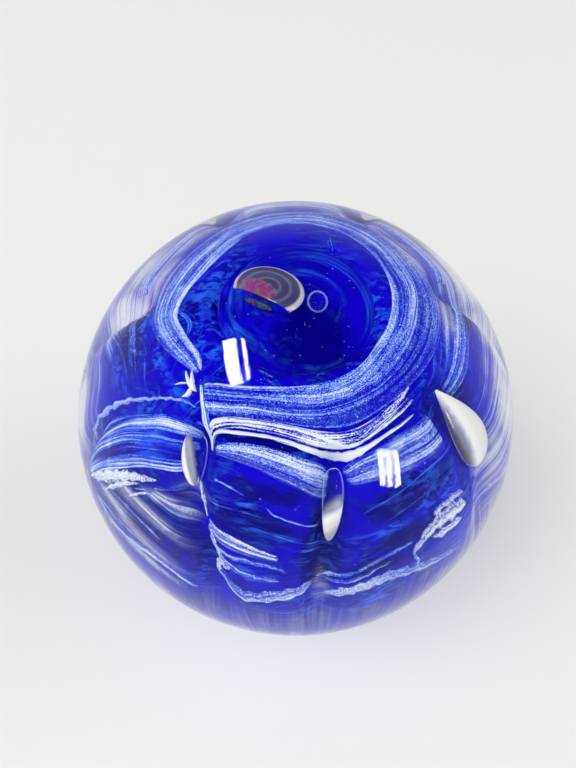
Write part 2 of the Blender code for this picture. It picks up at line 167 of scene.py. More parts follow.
def catmull_rom(points, steps):
    points = np.asarray(points, float)
    ends = np.vstack((2 * points[0] - points[1], points, 2 * points[-1] - points[-2]))
    place = np.linspace(0.0, len(points) - 1, steps + 1)
    index = np.minimum(place.astype(int), len(points) - 2)
    t = (place - index)[:, None]
    a, b, c, d = (ends[index + shift] for shift in range(4))
    bend = (2 * a - 5 * b + 4 * c - d) * t * t + (3 * b - a - 3 * c + d) * t**3
    return (2 * b + (c - a) * t + bend) / 2


# Mesh helpers ----------------------------------------


def ring_faces(count, around):
    """Quads between rings, and a fan to a middle point at each end."""
    row, column = np.meshgrid(np.arange(count - 1), np.arange(around), indexing="ij")
    beside = (column + 1) % around
    here, below = row * around, (row + 1) * around
    corners = (here + column, below + column, below + beside, here + beside)
    quads = np.stack(corners, axis=-1).reshape(-1, 4)
    column = np.arange(around)
    top, bottom = count * around, count * around + 1
    last = (count - 1) * around
    beside = (column + 1) % around
    start = np.stack((np.full(around, top), column, beside), axis=-1)
    end = np.stack((np.full(around, bottom), last + beside, last + column), axis=-1)
    return quads, np.vstack((start, end))


def body(rings, **attributes):
    """One closed body from rings (count, around, 3), with point attributes given ring by ring."""
    def with_caps(values):
        flat = values.reshape(-1, *values.shape[2:])
        return np.concatenate((flat, values[:1].mean(axis=1), values[-1:].mean(axis=1)))

    points = with_caps(rings)
    quads, fans = ring_faces(*rings.shape[:2])
    corner = points[np.vstack((fans, quads[:, :3], quads[:, [0, 2, 3]]))]
    volume = np.einsum("ij,ij->", corner[:, 0] - CENTRE, np.cross(corner[:, 1] - CENTRE, corner[:, 2] - CENTRE))
    if volume < 0.0:
        quads, fans = quads[:, ::-1], fans[:, ::-1]
    return {"points": points, "quads": quads, "fans": fans,
            "attributes": {name: with_caps(values) for name, values in attributes.items()}}


def make_piece(name, bodies, material, nodes=(), corner=None):
    """An object from closed bodies, riding on the root and standing for its CAD nodes."""
    points, faces, shift = [], [], 0
    for one in bodies:
        points.append(one["points"])
        faces += (one["quads"] + shift).tolist() + (one["fans"] + shift).tolist()
        shift += len(one["points"])
    mesh = bpy.data.meshes.new(name)
    mesh.from_pydata(np.vstack(points).tolist(), [], faces)
    for key in bodies[0]["attributes"]:
        values = np.concatenate([one["attributes"][key] for one in bodies]).astype(np.float32)
        kind, field = ("FLOAT_VECTOR", "vector") if values.ndim == 2 else ("FLOAT", "value")
        mesh.attributes.new(key, kind, "POINT").data.foreach_set(field, values.ravel())
    if corner:
        for key, values in corner.items():
            padded = np.zeros((len(mesh.loops), 3), np.float32)
            padded[: len(values)] = values
            mesh.attributes.new(key, "FLOAT_VECTOR", "CORNER").data.foreach_set("vector", padded.ravel())
    mesh.shade_smooth()
    mesh.materials.append(material)
    piece = bpy.data.objects.new(name, mesh)
    bpy.context.scene.collection.objects.link(piece)
    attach(piece, "root")
    if nodes:
        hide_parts(*nodes)
    return piece


# Material helpers ----------------------------------------


class Tree:
    """A material's node tree, built by calls that hand back sockets."""

    def __init__(self, name):
        self.material = bpy.data.materials.new(name)
        self.material.use_nodes = True
        self.nodes = self.material.node_tree.nodes
        self.links = self.material.node_tree.links
        self.nodes.clear()

    def node(self, kind, inputs=(), **settings):
        node = self.nodes.new(kind)
        for key, value in settings.items():
            setattr(node, key, value)
        for key, value in dict(inputs).items():
            if isinstance(value, bpy.types.NodeSocket):
                self.links.new(value, node.inputs[key])
            else:
                node.inputs[key].default_value = value
        return node

    def attribute(self, name, output="Fac"):
        return self.node("ShaderNodeAttribute", attribute_name=name).outputs[output]

    def place(self):
        """Where the point is, in mm."""
        return self.scaled(self.node("ShaderNodeTexCoord").outputs["Object"], MM, MM, MM)

    def math(self, operation, *values, clamp=False):
        return self.node("ShaderNodeMath", enumerate(values), operation=operation, use_clamp=clamp).outputs[0]

    def add(self, first, second):
        return self.math("ADD", first, second)

    def multiply(self, first, second):
        return self.math("MULTIPLY", first, second)

    def centred(self, value, strength):
        """A value of 0 to 1 moved to lie round zero, times a strength."""
        return self.math("MULTIPLY_ADD", value, strength, -strength / 2.0)

    def scaled(self, vector, along, across, third=1.0, seed=0.0):
        inputs = {0: vector, 1: (along, across, third), 2: (seed, seed, seed)}
        return self.node("ShaderNodeVectorMath", inputs, operation="MULTIPLY_ADD").outputs[0]

    def noise(self, vector, scale=1.0, detail=2.0, roughness=0.5, distortion=0.0):
        inputs = {"Vector": vector, "Scale": scale, "Detail": detail}
        inputs |= {"Roughness": roughness, "Distortion": distortion}
        return self.node("ShaderNodeTexNoise", inputs).outputs["Fac"]

    def ease(self, value, low, high, to_low=0.0, to_high=1.0):
        inputs = {"Value": value, "From Min": low, "From Max": high, "To Min": to_low, "To Max": to_high}
        return self.node("ShaderNodeMapRange", inputs, interpolation_type="SMOOTHSTEP").outputs[0]

    def mix(self, factor, first, second):
        def colour(value):
            return (*value, 1.0) if isinstance(value, tuple) else value

        inputs = {0: factor, 6: colour(first), 7: colour(second)}
        return self.node("ShaderNodeMix", inputs, data_type="RGBA").outputs[2]

    def finish(self, shader):
        self.node("ShaderNodeOutputMaterial", {"Surface": shader})
        return self.material

    def shader(self, kind, inputs):
        return self.node(f"ShaderNodeBsdf{kind}", inputs).outputs[0]

    def blend(self, share, first, second):
        return self.node("ShaderNodeMixShader", {0: share, 1: first, 2: second}).outputs[0]

    def let_through(self, shader):
        """The shader for what is seen, letting straight through the light that falls on things inside or behind."""
        through = self.shader("Transparent", {"Color": SHADE})
        for kind in ("Is Diffuse Ray", "Is Shadow Ray"):
            shader = self.blend(self.node("ShaderNodeLightPath").outputs[kind], shader, through)
        return shader

    def solid(self, colour):
        """Coloured glass lying in clear glass: it scatters light and has no polished face of its own."""
        inputs = {"Base Color": colour, "Roughness": 0.6, "Specular IOR Level": 0.0}
        return self.finish(self.shader("Principled", inputs))

    def threads(self, flow, sharp=1.0):
        """Combed threads, 0 to 1: flow is in mm, X along the threads and Y across them."""
        bend = self.multiply(self.noise(self.scaled(flow, 0.09, 0.20), detail=1.0), THREAD_BEND)
        shift = self.node("ShaderNodeCombineXYZ", {"Y": bend}).outputs[0]
        flow = self.node("ShaderNodeVectorMath", {0: flow, 1: shift}, operation="ADD").outputs[0]
        total = 0.0
        for along, across, weight, seed in THREAD_LAYERS:
            layer = self.noise(self.scaled(flow, along, across * sharp, seed=seed), detail=1.0)
            total = self.math("MULTIPLY_ADD", layer, weight, total)
        return self.node("ShaderNodeMapRange", {"Value": total, "From Min": 0.37, "From Max": 0.63}).outputs[0]

    def paint(self, value, flow, gain):
        """Cobalt ground with threads on it, from the attributes that say how much of each there is."""
        place = self.place()
        cloud = self.noise(place, scale=0.17, detail=4.0, roughness=0.62, distortion=1.2)
        depth = self.math("MULTIPLY_ADD", self.attribute("deep"), 0.8, cloud)
        ground = self.mix(self.ease(depth, 0.38, 0.80), ROYAL, NAVY)
        wisp = self.noise(self.scaled(flow, 0.12, 0.75, seed=51.0), detail=4.0, roughness=0.62, distortion=0.8)
        bright = self.math("MULTIPLY_ADD", self.ease(cloud, 0.44, 0.64), FAINT_WISPS, self.attribute("bright"))
        wisp = self.math("MULTIPLY", self.ease(wisp, 0.44, 0.64), bright, clamp=True)
        ground = self.mix(wisp, ground, AZURE)
        grain = self.centred(self.noise(place, scale=6.0, detail=1.0, roughness=0.7), GRAIN)
        speckle = self.math("MULTIPLY_ADD", grain, self.attribute("grit"), self.centred(cloud, DRIFT))
        value = self.math("MULTIPLY_ADD", value, gain, speckle)
        level = self.add(self.add(value, self.attribute("pale")), -gain / 2.0)
        colour = self.mix(self.ease(level, 0.42, 0.64), ground, AZURE)
        colour = self.mix(self.ease(level, 0.60, 0.86), colour, ICE)
        whitened = self.add(level, self.centred(self.attribute("white"), 0.8))
        colour = self.mix(self.ease(whitened, 0.80, 1.10), colour, MILK)
        streaks = self.ease(value, 0.15 * gain, 0.85 * gain, 0.20, 1.35)
        # Where this share is high the colour goes pale: hazy glass, and along the core's outline painted rim light.
        haze_and_rim_light = self.attribute("haze_and_rim_light")
        thick = self.ease(haze_and_rim_light, 0.55, 1.15)
        veil = self.math("MULTIPLY_ADD", thick, THICK_HAZE_AND_RIM_LIGHT, self.multiply(haze_and_rim_light, streaks), clamp=True)
        return self.seeds(self.mix(veil, colour, self.mix(thick, MIST_AND_RIM_LIGHT, PALE_HAZE_AND_RIM_LIGHT)), place)

    def seeds(self, colour, place):
        """Tiny pale seed bubbles, a few to each square centimetre, plainest where the colour is gritty."""
        plain = self.math("MULTIPLY_ADD", self.attribute("grit"), 0.75, 0.15, clamp=True)
        for scale, radius, share in SEED_BUBBLES:
            cell = self.node("ShaderNodeTexVoronoi", {"Vector": place, "Scale": scale})
            dot = self.ease(cell.outputs["Distance"], radius * 0.6, radius, 1.0, 0.0)
            pick = self.node("ShaderNodeSeparateColor", {0: cell.outputs["Color"]}).outputs[0]
            chosen = self.math("LESS_THAN", pick, share)
            colour = self.mix(self.multiply(self.multiply(dot, chosen), plain), colour, SEED_COLOUR)
        return colour


# Paint on the core ----------------------------------------

# Soft patches on the core: azimuth, polar, half-width, half-height, strength.
PATCHES = {
    "pale": (
        (-150, 54, 26, 6, 0.56), (-130, 76, 14, 9, 0.46), (-104, 72, 12, 14, 0.52), (165, 52, 36, 6, 0.56),
        (126, 62, 14, 14, 0.5), (95, 80, 18, 14, 0.5), (78, 100, 16, 12, 0.44), (100, 55, 12, 4, 0.4),
        (-92, 92, 9, 18, 0.54), (178, 78, 16, 8, 0.36), (-164, 96, 18, 7, 0.3), (142, 88, 14, 7, 0.34),
        (112, 100, 16, 8, 0.4), (-116, 102, 16, 8, 0.4), (90, 48, 22, 3, 0.4), (50, 86, 10, 4, 0.3),
        (-24, 25, 5, 5, 0.5),
    ),
    "white": (
        (-150, 62, 34, 18, 0.4), (165, 64, 44, 20, 0.4), (100, 78, 20, 20, 0.55), (-97, 84, 16, 22, 0.6),
        (180, 100, 70, 24, 0.25), (-20, 115, 60, 6, 0.25),
    ),
    "bright": (
        (-13, 91.5, 6.5, 3.6, 1.3), (-15.5, 66, 3, 4, 0.9), (-10, 73, 8, 2.4, 0.7), (28, 78.8, 10, 1.5, 1),
        (42, 75, 3, 6, 0.8), (-55, 46, 7, 2.2, 1.2), (-94, 50, 5, 6, 0.8), (-84, 60, 6, 5, 0.6), (2, 110, 9, 8, 1),
        (24, 108, 8, 8, 0.9), (50, 80, 8, 6, 0.7), (-60, 62, 12, 9, 0.9), (10, 84, 5, 6, 0.3),
        (-28, 106, 10, 8, 0.4), (60, 100, 12, 12, 0.6), (40, 68, 10, 3, 0.5), (84, 52, 10, 8, 0.5),
        (-72, 46, 10, 2, 0.8), (-112, 25, 26, 7, 1), (150, 19, 34, 6, 1), (-64, 26, 18, 8, 1), (94, 25, 22, 5, 1),
        (180, 12, 26, 3, 0.5),
    ),
    "deep": (
        # The first patch here darkens the eye disc's front half: painted shade from the pit's front wall.
        (20, 12, 50, 12, 0.55), (-8, 61.5, 14, 3.5, 0.45), (38, 71, 14, 5, 0.7), (8, 84, 6, 14, 0.55),
        (-14, 72, 12, 7, 0.45), (36, 84, 12, 5, 0.4), (-97, 55, 9, 9, 0.45), (108, 58, 8, 6, 0.5),
        (-50, 86, 26, 16, 0.36), (108, 55, 10, 6, 0.5), (-150, 88, 12, 9, 0.6), (152, 68, 12, 7, 0.6),
        (-175, 92, 12, 9, 0.6), (130, 98, 10, 8, 0.5), (75, 62, 6, 5, 0.3), (-10, 47, 30, 2, 0.55),
        (-90, 55, 12, 6, 0.35), (26, 92, 12, 4, 0.4), (-15, 60, 10, 3, 0.3),
    ),
    # Pale hazy glass laid along the core's outline as the camera sees it, strongest at the sides: partly painted rim
    # light.
    "haze_and_rim_light": (
        (0, 122, 80, 10, 0.2), (-60, 102, 22, 16, 0.1), (62, 112, 30, 14, 0.26), (8, 103, 2.6, 9, 0.4),
        (-34, 70, 6, 3, 0.14), (131, 46, 12, 5, 0.6), (104, 49, 12, 4, 0.5), (130, 71, 15, 13, 1),
        (109, 81, 13, 16, 1.05), (94, 88, 12, 18, 0.92), (79, 95, 9, 15, 0.72), (67, 109, 9, 9, 0.66),
        (56, 121, 12, 8, 0.62), (-116, 48, 13, 6, 0.6), (-126, 62, 12, 9, 0.8), (-110, 68, 10, 16, 0.95),
        (-94, 92, 11, 16, 0.9), (180, 55, 30, 5, 0.65), (-146, 52, 18, 5, 0.6), (156, 50, 14, 5, 0.7),
    ),
    "grit": (
        (-150, 60, 60, 25, 0.2), (165, 62, 60, 20, 0.2), (95, 80, 40, 24, 0.2), (-97, 50, 12, 8, 0.6),
        (-5, 62, 30, 4, 0.4), (85, 50, 30, 8, 0.6), (-18, 25, 9, 6, 1.2), (80, 36, 40, 8, 0.55),
        (-90, 60, 12, 12, 0.8),
    ),
}
GROUND = {"pale": 0.0, "white": 0.30, "bright": 0.0, "deep": 0.0, "haze_and_rim_light": 0.0, "grit": 0.14}
# The core's pale underside, a veil that is partly painted reflection of the floor: the polar angle where it begins at
# the sides, how much lower that is at the front and higher at the back, how gradually it begins, and its strength.
VEIL_POLAR, VEIL_TILT, VEIL_FADE, VEIL_STRENGTH = 100.0, 26.0, 24.0, 0.34
# The thicker hem below the veil, partly painted reflection of the floor: its polar angle at the sides, what the front
# adds and the back takes off, its strength, and the azimuth round which it thins out, over how many degrees and by
# how much.
HEM_POLAR, HEM_FRONT, HEM_BACK, HEM_STRENGTH = 98.0, 34.0, 12.0, 0.50
HEM_GAP = (28.0, 26.0, 0.6)
# Threads on each lobe: where its arch peaks (0 to 1), the arch's drop, then slope and arch nearer the waist.
LOBE_THREADS = (
    (0.95, 34, 0, 5), (0.35, 9, 6, 2), (0.55, 3, -3, 7), (0.6, 6, 2, 5), (0.5, 7, -3, 6), (0.45, 6, 4, 5),
    (0.55, 8, -4, 6), (0.6, 12, 6, 6),
)
# Soft speckled bands on the left lobe and low on the front: (azimuth, polar, half-width) points.
SOFT_BANDS = (
    (
        (-78, 102, 2.4), (-69.5, 96.5, 3.2), (-62, 95.6, 3.6), (-54.2, 97.4, 3.8), (-46.4, 98.8, 3.2),
        (-38.1, 101, 2.4), (-32, 105, 1.6),
    ),
    (
        (-70, 91, 1.4), (-62, 86.6, 2), (-56, 85, 2.3), (-51, 84.8, 2.4), (-44.3, 85.2, 2.2), (-37.3, 87, 1.8),
        (-29, 91.5, 1.2),
    ),
    ((-52, 79, 1.2), (-43, 76.4, 1.7), (-37.3, 77, 1.7), (-30, 79.7, 1.2)),
    ((-76, 110, 2), (-62, 106, 2.4), (-50, 106.4, 2.6), (-41, 108.6, 2.2), (-33, 113, 1.6)),
)
BAND_PAINT = {"pale": 0.64, "haze_and_rim_light": 0.80, "grit": 1.0, "white": 0.40}
LOBE_COLUMNS = 56
LOBE_WIDTH_MM = 24.0
POLAR_STEP = 0.75


def patches(name, azimuth, polar):
    """One kind of paint over the core: the strongest patch at each place."""
    total = np.full_like(azimuth, GROUND[name])
    for middle, height, half_width, half_height, strength in PATCHES[name]:
        across = turn_between(azimuth, middle) / half_width
        reach = across**2 + ((polar - height) / half_height) ** 2
        total = np.maximum(total, strength * np.exp(-(reach**1.5)))
    # Veil and hem low on the core follow its outline as the camera sees it: partly painted reflection of the floor.
    if name == "haze_and_rim_light":
        facing = np.cos(np.radians(azimuth))
        edge = VEIL_POLAR + VEIL_TILT * facing + 3.0 * np.sin(np.radians(azimuth * 7.0))
        veil = VEIL_STRENGTH * smooth(polar, edge - VEIL_FADE / 2.0, edge + VEIL_FADE)
        edge = HEM_POLAR + HEM_FRONT * np.maximum(facing, 0.0) + HEM_BACK * np.minimum(facing, 0.0)
        middle, width, loss = HEM_GAP
        gap = 1.0 - loss * np.exp(-(((azimuth - middle) / width) ** 2))
        hem = HEM_STRENGTH * smooth(facing, -0.6, 0.3) * gap
        total = np.maximum(total, veil + hem * smooth(polar, edge - 6.0, edge + 9.0))
    return total


def soft_bands(azimuth, polar):
    """How much of a soft speckled band lies at each place on the core, 0 to 1."""
    places = directions(azimuth, polar)
    total = np.zeros_like(azimuth)
    for route in SOFT_BANDS:
        path = catmull_rom(route, 50)
        share = np.linspace(0.0, 1.0, len(path))
        closing = smooth(np.minimum(share, 1.0 - share), 0.0, 0.25)
        for where, width, strength in zip(directions(path[:, 0], path[:, 1]), path[:, 2], closing):
            gap = np.degrees(np.arccos(np.clip(places @ where, -1.0, 1.0))) / width
            total = np.maximum(total, strength * np.exp(-(gap**2)))
    return total


def lobe_share(step):
    """Where a column stands between two creases: columns crowd towards both creases."""
    share = step / LOBE_COLUMNS
    return share - 0.12 * np.sin(2.0 * math.pi * share)


def lobe_flow(lobe, share, polar):
    """Thread coordinates on a lobe, in mm: along them, across them, and the lobe's own seed."""
    peak, arch, slope, low_arch = LOBE_THREADS[lobe]
    low = smooth(polar, 66.0, 80.0)
    high_line = arch * (share - peak) ** 2 * 4.0
    low_line = slope * (share - 0.5) * 2.0 + low_arch * (2.0 * share - 1.0) ** 2
    level = polar - high_line * (1.0 - low) - low_line * low
    across = np.radians(level) * CORE_RADIUS * MM
    return np.stack((share * LOBE_WIDTH_MM, across, np.full_like(share, 9.0 * lobe)), axis=-1)


def core_surface():
    """The core as rings, with its paint as attributes."""
    polar = np.arange(POLAR_STEP, NECK_POLAR + 0.01, POLAR_STEP)
    columns = LOBE_COLUMNS * len(CREASES)
    lobe, step = np.divmod(np.arange(columns), LOBE_COLUMNS)
    share = lobe_share(step)
    lines = np.array([crease_azimuth(index, polar) for index in range(len(CREASES) + 1)])
    azimuth = (lines[lobe] + (lines[lobe + 1] - lines[lobe]) * share[:, None]).T
    polar = np.repeat(polar[:, None], columns, axis=1)
    rings = on_sphere(azimuth, polar, core_radius(azimuth, polar))
    turn = np.radians(azimuth[-1])
    foot = [np.stack((r * np.sin(turn), -r * np.cos(turn), np.full(columns, z)), axis=-1) for r, z in FOOT_PROFILE]

    def extend(values):
        return np.concatenate((values, np.repeat(values[-1:], len(foot), axis=0)))

    skirt = np.stack((np.radians(polar) * CORE_RADIUS * MM * 0.8,
                      np.radians(azimuth) * CORE_RADIUS * MM * 0.9, np.full_like(polar, 50.0)), axis=-1)
    hem = 108.0 + 2.0 * np.sin(np.radians(azimuth * 6.0 + 40.0)) + 1.5 * np.sin(np.radians(azimuth * 17.0))
    attributes = {name: patches(name, azimuth, polar) for name in PATCHES}
    attributes["pale"] = attributes["pale"] - 0.30 * (1.0 - smooth(polar, 36.0, 48.0))
    band = soft_bands(azimuth, polar)
    for name, most in BAND_PAINT.items():
        attributes[name] = np.maximum(attributes[name], most * band)
    attributes["skirt"] = skirt
    attributes["skirt_zone"] = smooth(polar, hem - 9.0, hem + 10.0)
    corner = corner_flow(polar[:, 0], columns)
    rings = np.concatenate((rings, np.array(foot)))
    return body(rings, **{name: extend(values) for name, values in attributes.items()}), corner


def corner_flow(polar, columns):
    """The lobes' thread coordinates for each corner of the quads, so that they break cleanly at a crease."""
    lobe, step = np.divmod(np.arange(columns), LOBE_COLUMNS)
    near, far = lobe_share(step), lobe_share(step + 1)
    rows = len(polar) - 1
    flow = np.zeros((rows, columns, 4, 3), np.float32)
    for slot, (row_shift, share) in enumerate(((0, near), (1, near), (1, far), (0, far))):
        level = polar[row_shift:row_shift + rows][:, None] + np.zeros(columns)
        spread = share[None, :] + np.zeros((rows, 1))
        for one in range(len(CREASES)):
            mine = lobe == one
            flow[:, mine, slot] = lobe_flow(one, spread[:, mine], level[:, mine])
    return flow.reshape(-1, 3)


def add_core():
    tree = Tree("cobalt_core")
    zone = tree.attribute("skirt_zone")
    upper = tree.multiply(tree.threads(tree.attribute("flow", "Vector")), tree.math("SUBTRACT", 1.0, zone))
    lower = tree.multiply(tree.threads(tree.attribute("skirt", "Vector"), 0.6), tree.multiply(zone, 0.72))
    surface, corner = core_surface()
    glass = tree.solid(tree.paint(tree.add(upper, lower), tree.place(), 1.15))
    make_piece("cobalt_core_glass", [surface], glass, ["cobalt_core"], {"flow": corner})


# Sheets and ribbons on the core ----------------------------------------


def grid_value(grid, share, side):
    """Value on a small grid, rows along the sheet and columns across it, read between its entries."""
    grid = np.atleast_2d(np.asarray(grid, float))
    rows, columns = grid.shape

    def split(value, count):
        place = np.clip(value, 0.0, 1.0) * (count - 1)
        low = np.minimum(place.astype(int), max(count - 2, 0))
        return low, np.minimum(low + 1, count - 1), place - low

    r0, r1, rf = split(share, rows)
    c0, c1, cf = split(side, columns)
    top = grid[r0, c0] * (1 - cf) + grid[r0, c1] * cf
    bottom = grid[r1, c0] * (1 - cf) + grid[r1, c1] * cf
    return top * (1 - rf) + bottom * rf


SHEET_DEPTH = 0.0006
SUNK_RIM = 0.0001
SHEET_STEP, RIBBON_STEP = 0.0004, 0.0003
RAGGED_MM = 2.6


def lay(first, second, seed, pale, white=0.5, grit=0.25, mist=0.0, rise=0.00035, across=20, soft=0.5, ends=0.04):
    """Closed sheet lying on the core between two edges, each a line of (azimuth, polar); its rim is sunk in."""
    near, far = directions(first[:, 0], first[:, 1]), directions(second[:, 0], second[:, 1])
    side = np.linspace(0.0, 1.0, across + 1)
    aim = near[:, None, :] * (1.0 - side)[None, :, None] + far[:, None, :] * side[None, :, None]
    azimuth, polar = to_angles(aim)
    walked = np.concatenate(([0.0], np.cumsum(np.linalg.norm(np.diff((near + far) / 2, axis=0), axis=1))))
    walked *= CORE_RADIUS * MM
    share = walked / walked[-1]
    width = np.linalg.norm(near - far, axis=1).mean() * CORE_RADIUS * MM
    closing = smooth(np.minimum(share, 1.0 - share), 0.0, ends)
    lens = 1.0 - (2.0 * side - 1.0) ** 4
    crown = (rise + SUNK_RIM) * lens[None, :] * closing[:, None] - SUNK_RIM
    ground = core_radius(azimuth, polar)
    top = on_sphere(azimuth, polar, ground + crown)
    under = on_sphere(azimuth, polar, ground - SHEET_DEPTH)[:, ::-1]
    sides, shares = np.meshgrid(side, share)
    fade = (1.0 - soft * smooth(np.abs(2.0 * sides - 1.0), 0.55, 1.0)) * closing[:, None]
    along = np.repeat(walked[:, None], across + 1, axis=1)
    values = {name: patches(name, azimuth, polar) for name in ("deep", "bright", "haze_and_rim_light")}
    values["flow"] = np.stack((along, sides * width, np.full_like(sides, 3.7 * seed)), axis=-1)
    values["pale"] = grid_value(pale, shares, sides) * fade
    values["white"] = grid_value(white, shares, sides)
    values["grit"] = np.full_like(sides, grit)
    values["haze_and_rim_light"] = np.maximum(values["haze_and_rim_light"], mist * fade)
    rings = np.concatenate((top, under), axis=1)
    return body(rings, **{name: np.concatenate((value, value[:, ::-1]), axis=1) for name, value in values.items()})


def route_length(route):
    points = catmull_rom(route, 60)
    steps = np.diff(directions(points[:, 0], points[:, 1]), axis=0)
    return np.linalg.norm(steps, axis=1).sum() * CORE_RADIUS


def sheet(first, second, seed, pale, **settings):
    """Sheet between two given edges."""
    steps = max(24, int(route_length(first) / SHEET_STEP))
    return lay(catmull_rom(first, steps), catmull_rom(second, steps), seed, pale, **settings)


def ribbon(route, seed, pale, ragged=0.15, taper=0.12, across=8, soft=0.35, **settings):
    """Narrow strip along (azimuth, polar, half-width) points, its width ragged and closing at both ends."""
    length = route_length(route)
    steps = max(20, int(length / RIBBON_STEP))
    path = catmull_rom(route, steps)
    middle = directions(path[:, 0], path[:, 1])
    tangent = np.gradient(middle, axis=0)
    side = np.cross(middle, tangent / np.linalg.norm(tangent, axis=1, keepdims=True))
    walked = np.linspace(0.0, length * MM, steps + 1)
    share = walked / walked[-1]
    closing = np.clip(np.minimum(share, 1.0 - share) / taper, 0.03, 1.0) ** 0.6
    half = np.radians(path[:, 2]) * closing
    edges = []
    for sign, shift in ((-1.0, 0), (1.0, 1)):
        reach = sign * half * (1.0 + ragged * wander(walked, seed * 7 + shift, RAGGED_MM))
        edges.append(np.stack(to_angles(middle + side * reach[:, None]), axis=-1))
    return lay(edges[0], edges[1], seed, pale, across=across, soft=soft, ends=0.02, **settings)


# Sheets have two edges of (azimuth, polar) points and a grid that says how pale they are: its rows go along the
# sheet, and each goes across from the first edge. Ribbons are (azimuth, polar, half-width) points. The swirl's
# edges go from its left end round the eye and back.
SWIRL_INNER = (
    (-50, 38.4), (-45, 35.9), (-37, 33.6), (-19, 30.2), (-2, 29), (12, 28.6), (32, 28.4), (46, 28), (60, 27.2),
    (75, 27.4), (99, 28.6), (122, 30.4), (145, 32.6), (166, 34.2), (185, 34.4), (205, 33), (222, 30.6), (240, 31),
    (255, 34), (268, 36.2), (281, 34.4), (298, 32.9), (307, 35.6),
)
SWIRL_OUTER = (
    (-41.5, 45.5), (-38.5, 45), (-33, 43.2), (-20, 40.6), (-6, 40.2), (8, 41.6), (24, 43.4), (38, 43), (52, 43),
    (70, 44.5), (92, 47), (116, 48), (140, 47), (162, 46), (185, 46), (208, 46), (228, 46), (244, 47.4), (257, 47.2),
    (268, 46.4), (281, 43.4), (294, 40), (306, 37.4),
)
SWIRL_PALE = (
    (0.92, 0.74, 0.5, 0.66, 0.72, 0.62, 0.74, 0.82, 0.8, 0.64),
    (0.88, 0.7, 0.34, 0.62, 0.6, 0.5, 0.64, 0.7, 0.4, 0.22),
    (0.84, 0.68, 0.36, 0.66, 0.52, 0.44, 0.5, 0.3, 0.18, 0.2),
    (0.88, 0.7, 0.46, 0.62, 0.44, 0.42, 0.36, 0.3, 0.28, 0.18),
    (0.84, 0.72, 0.48, 0.5, 0.56, 0.34, 0.46, 0.5, 0.4, 0.2),
    (0.82, 0.7, 0.52, 0.66, 0.44, 0.54, 0.56, 0.46, 0.46, 0.3),
    (0.8, 0.72, 0.54, 0.64, 0.56, 0.48, 0.62, 0.58, 0.5, 0.36),
    (0.84, 0.74, 0.52, 0.66, 0.46, 0.6, 0.68, 0.56, 0.44, 0.36),
    (0.82, 0.86, 0.66, 0.48, 0.74, 0.66, 0.42, 0.38, 0.34, 0.24),
    (0.78, 0.86, 0.8, 0.46, 0.58, 0.82, 0.72, 0.44, 0.3, 0.2),
    (0.82, 0.9, 0.8, 0.62, 0.6, 0.78, 0.82, 0.62, 0.46, 0.28),
)
FOLD = (
    ((-50, 38.6), (-46, 41.5), (-41.5, 45), (-37.5, 49.4), (-32, 54.6)),
    ((-46.5, 38), (-42.5, 41.3), (-38, 44.2), (-34, 47.6), (-30.8, 54.2)),
)
FOLD_PALE = ((0.9, 0.86, 0.7), (0.95, 0.8, 0.66), (1, 0.95, 0.8), (1, 1, 0.9))
CREST_TOP = (
    (-36, 48.2), (-35.6, 44.6), (-28.5, 41.7), (-18.3, 40.1), (-7.9, 39.9), (2.2, 40.9), (11.9, 42.6), (18.1, 43.7),
    (24.7, 44.1), (32, 43.8), (40.6, 42.9), (49.8, 42.4), (55.5, 42.2),
)
CREST_FOOT = (
    (-33.4, 51.4), (-32, 47.4), (-26, 44.7), (-18, 43.6), (-8, 43.4), (1, 45), (9, 47.4), (16, 49.4), (23, 49.8),
    (30, 48.6), (38, 47), (47, 46), (55, 45.4),
)
CREST_PALE = (
    (1.05, 1, 0.75, 0.6, 0.85, 0.85, 0.5), (1.1, 0.96, 0.66, 0.52, 0.8, 0.46, 0.14),
    (1.1, 1, 0.62, 0.78, 0.5, 0.24, 0.06), (1.05, 1.04, 0.86, 0.62, 0.95, 0.5, 0.1),
    (1, 0.9, 0.96, 0.6, 1, 1.1, 0.3), (1.15, 0.6, 0.3, 0.62, 0.3, 0.9, 0.3), (0.85, 0.44, 0.2, 0.5, 0.7, 0.25, 0.1),
    (0.6, 0.34, 0.2, 0.56, 0.26, 0.15, 0.1),
)
CREST_LINE = (
    (-31.2, 54.4, 0.4), (-32.8, 50, 0.6), (-30.2, 46.9, 0.7), (-20.1, 44.9, 0.6), (-10.5, 44.4, 0.6),
    (-1, 45.7, 0.75), (7.9, 48.4, 1), (13.3, 50.7, 1.5), (18.2, 51.8, 1.7), (23, 51.3, 1.4), (28.6, 50.5, 0.8),
    (35.8, 49.7, 0.5), (43.1, 49.6, 0.5), (52, 49.6, 0.3),
)
CREST_UPPER = (
    (-34.5, 48, 0.4), (-33.6, 45.2, 0.7), (-28, 42.6, 0.75), (-18.3, 41, 0.7), (-8, 40.8, 0.75), (2, 42.1, 0.8),
    (11, 44.6, 0.9), (17, 47.2, 1.1), (22, 49.4, 0.6),
)
CREST_STRANDS = (
    ((20, 48, 0.4), (27, 46.4, 0.9), (35, 45, 1.1), (43, 44.2, 1), (50, 43.4, 0.7), (56, 42.6, 0.4)),
    ((24, 48.6, 0.3), (32, 47.6, 0.5), (40, 46.8, 0.5), (48, 46.4, 0.4), (54, 46, 0.3)),
)
WAIST_PALE = ((0.7, 0.84, 0.92, 0.72, 0.6), (0.56, 0.74, 0.9, 0.86, 0.66), (0.76, 0.92, 0.78, 0.7, 0.56))
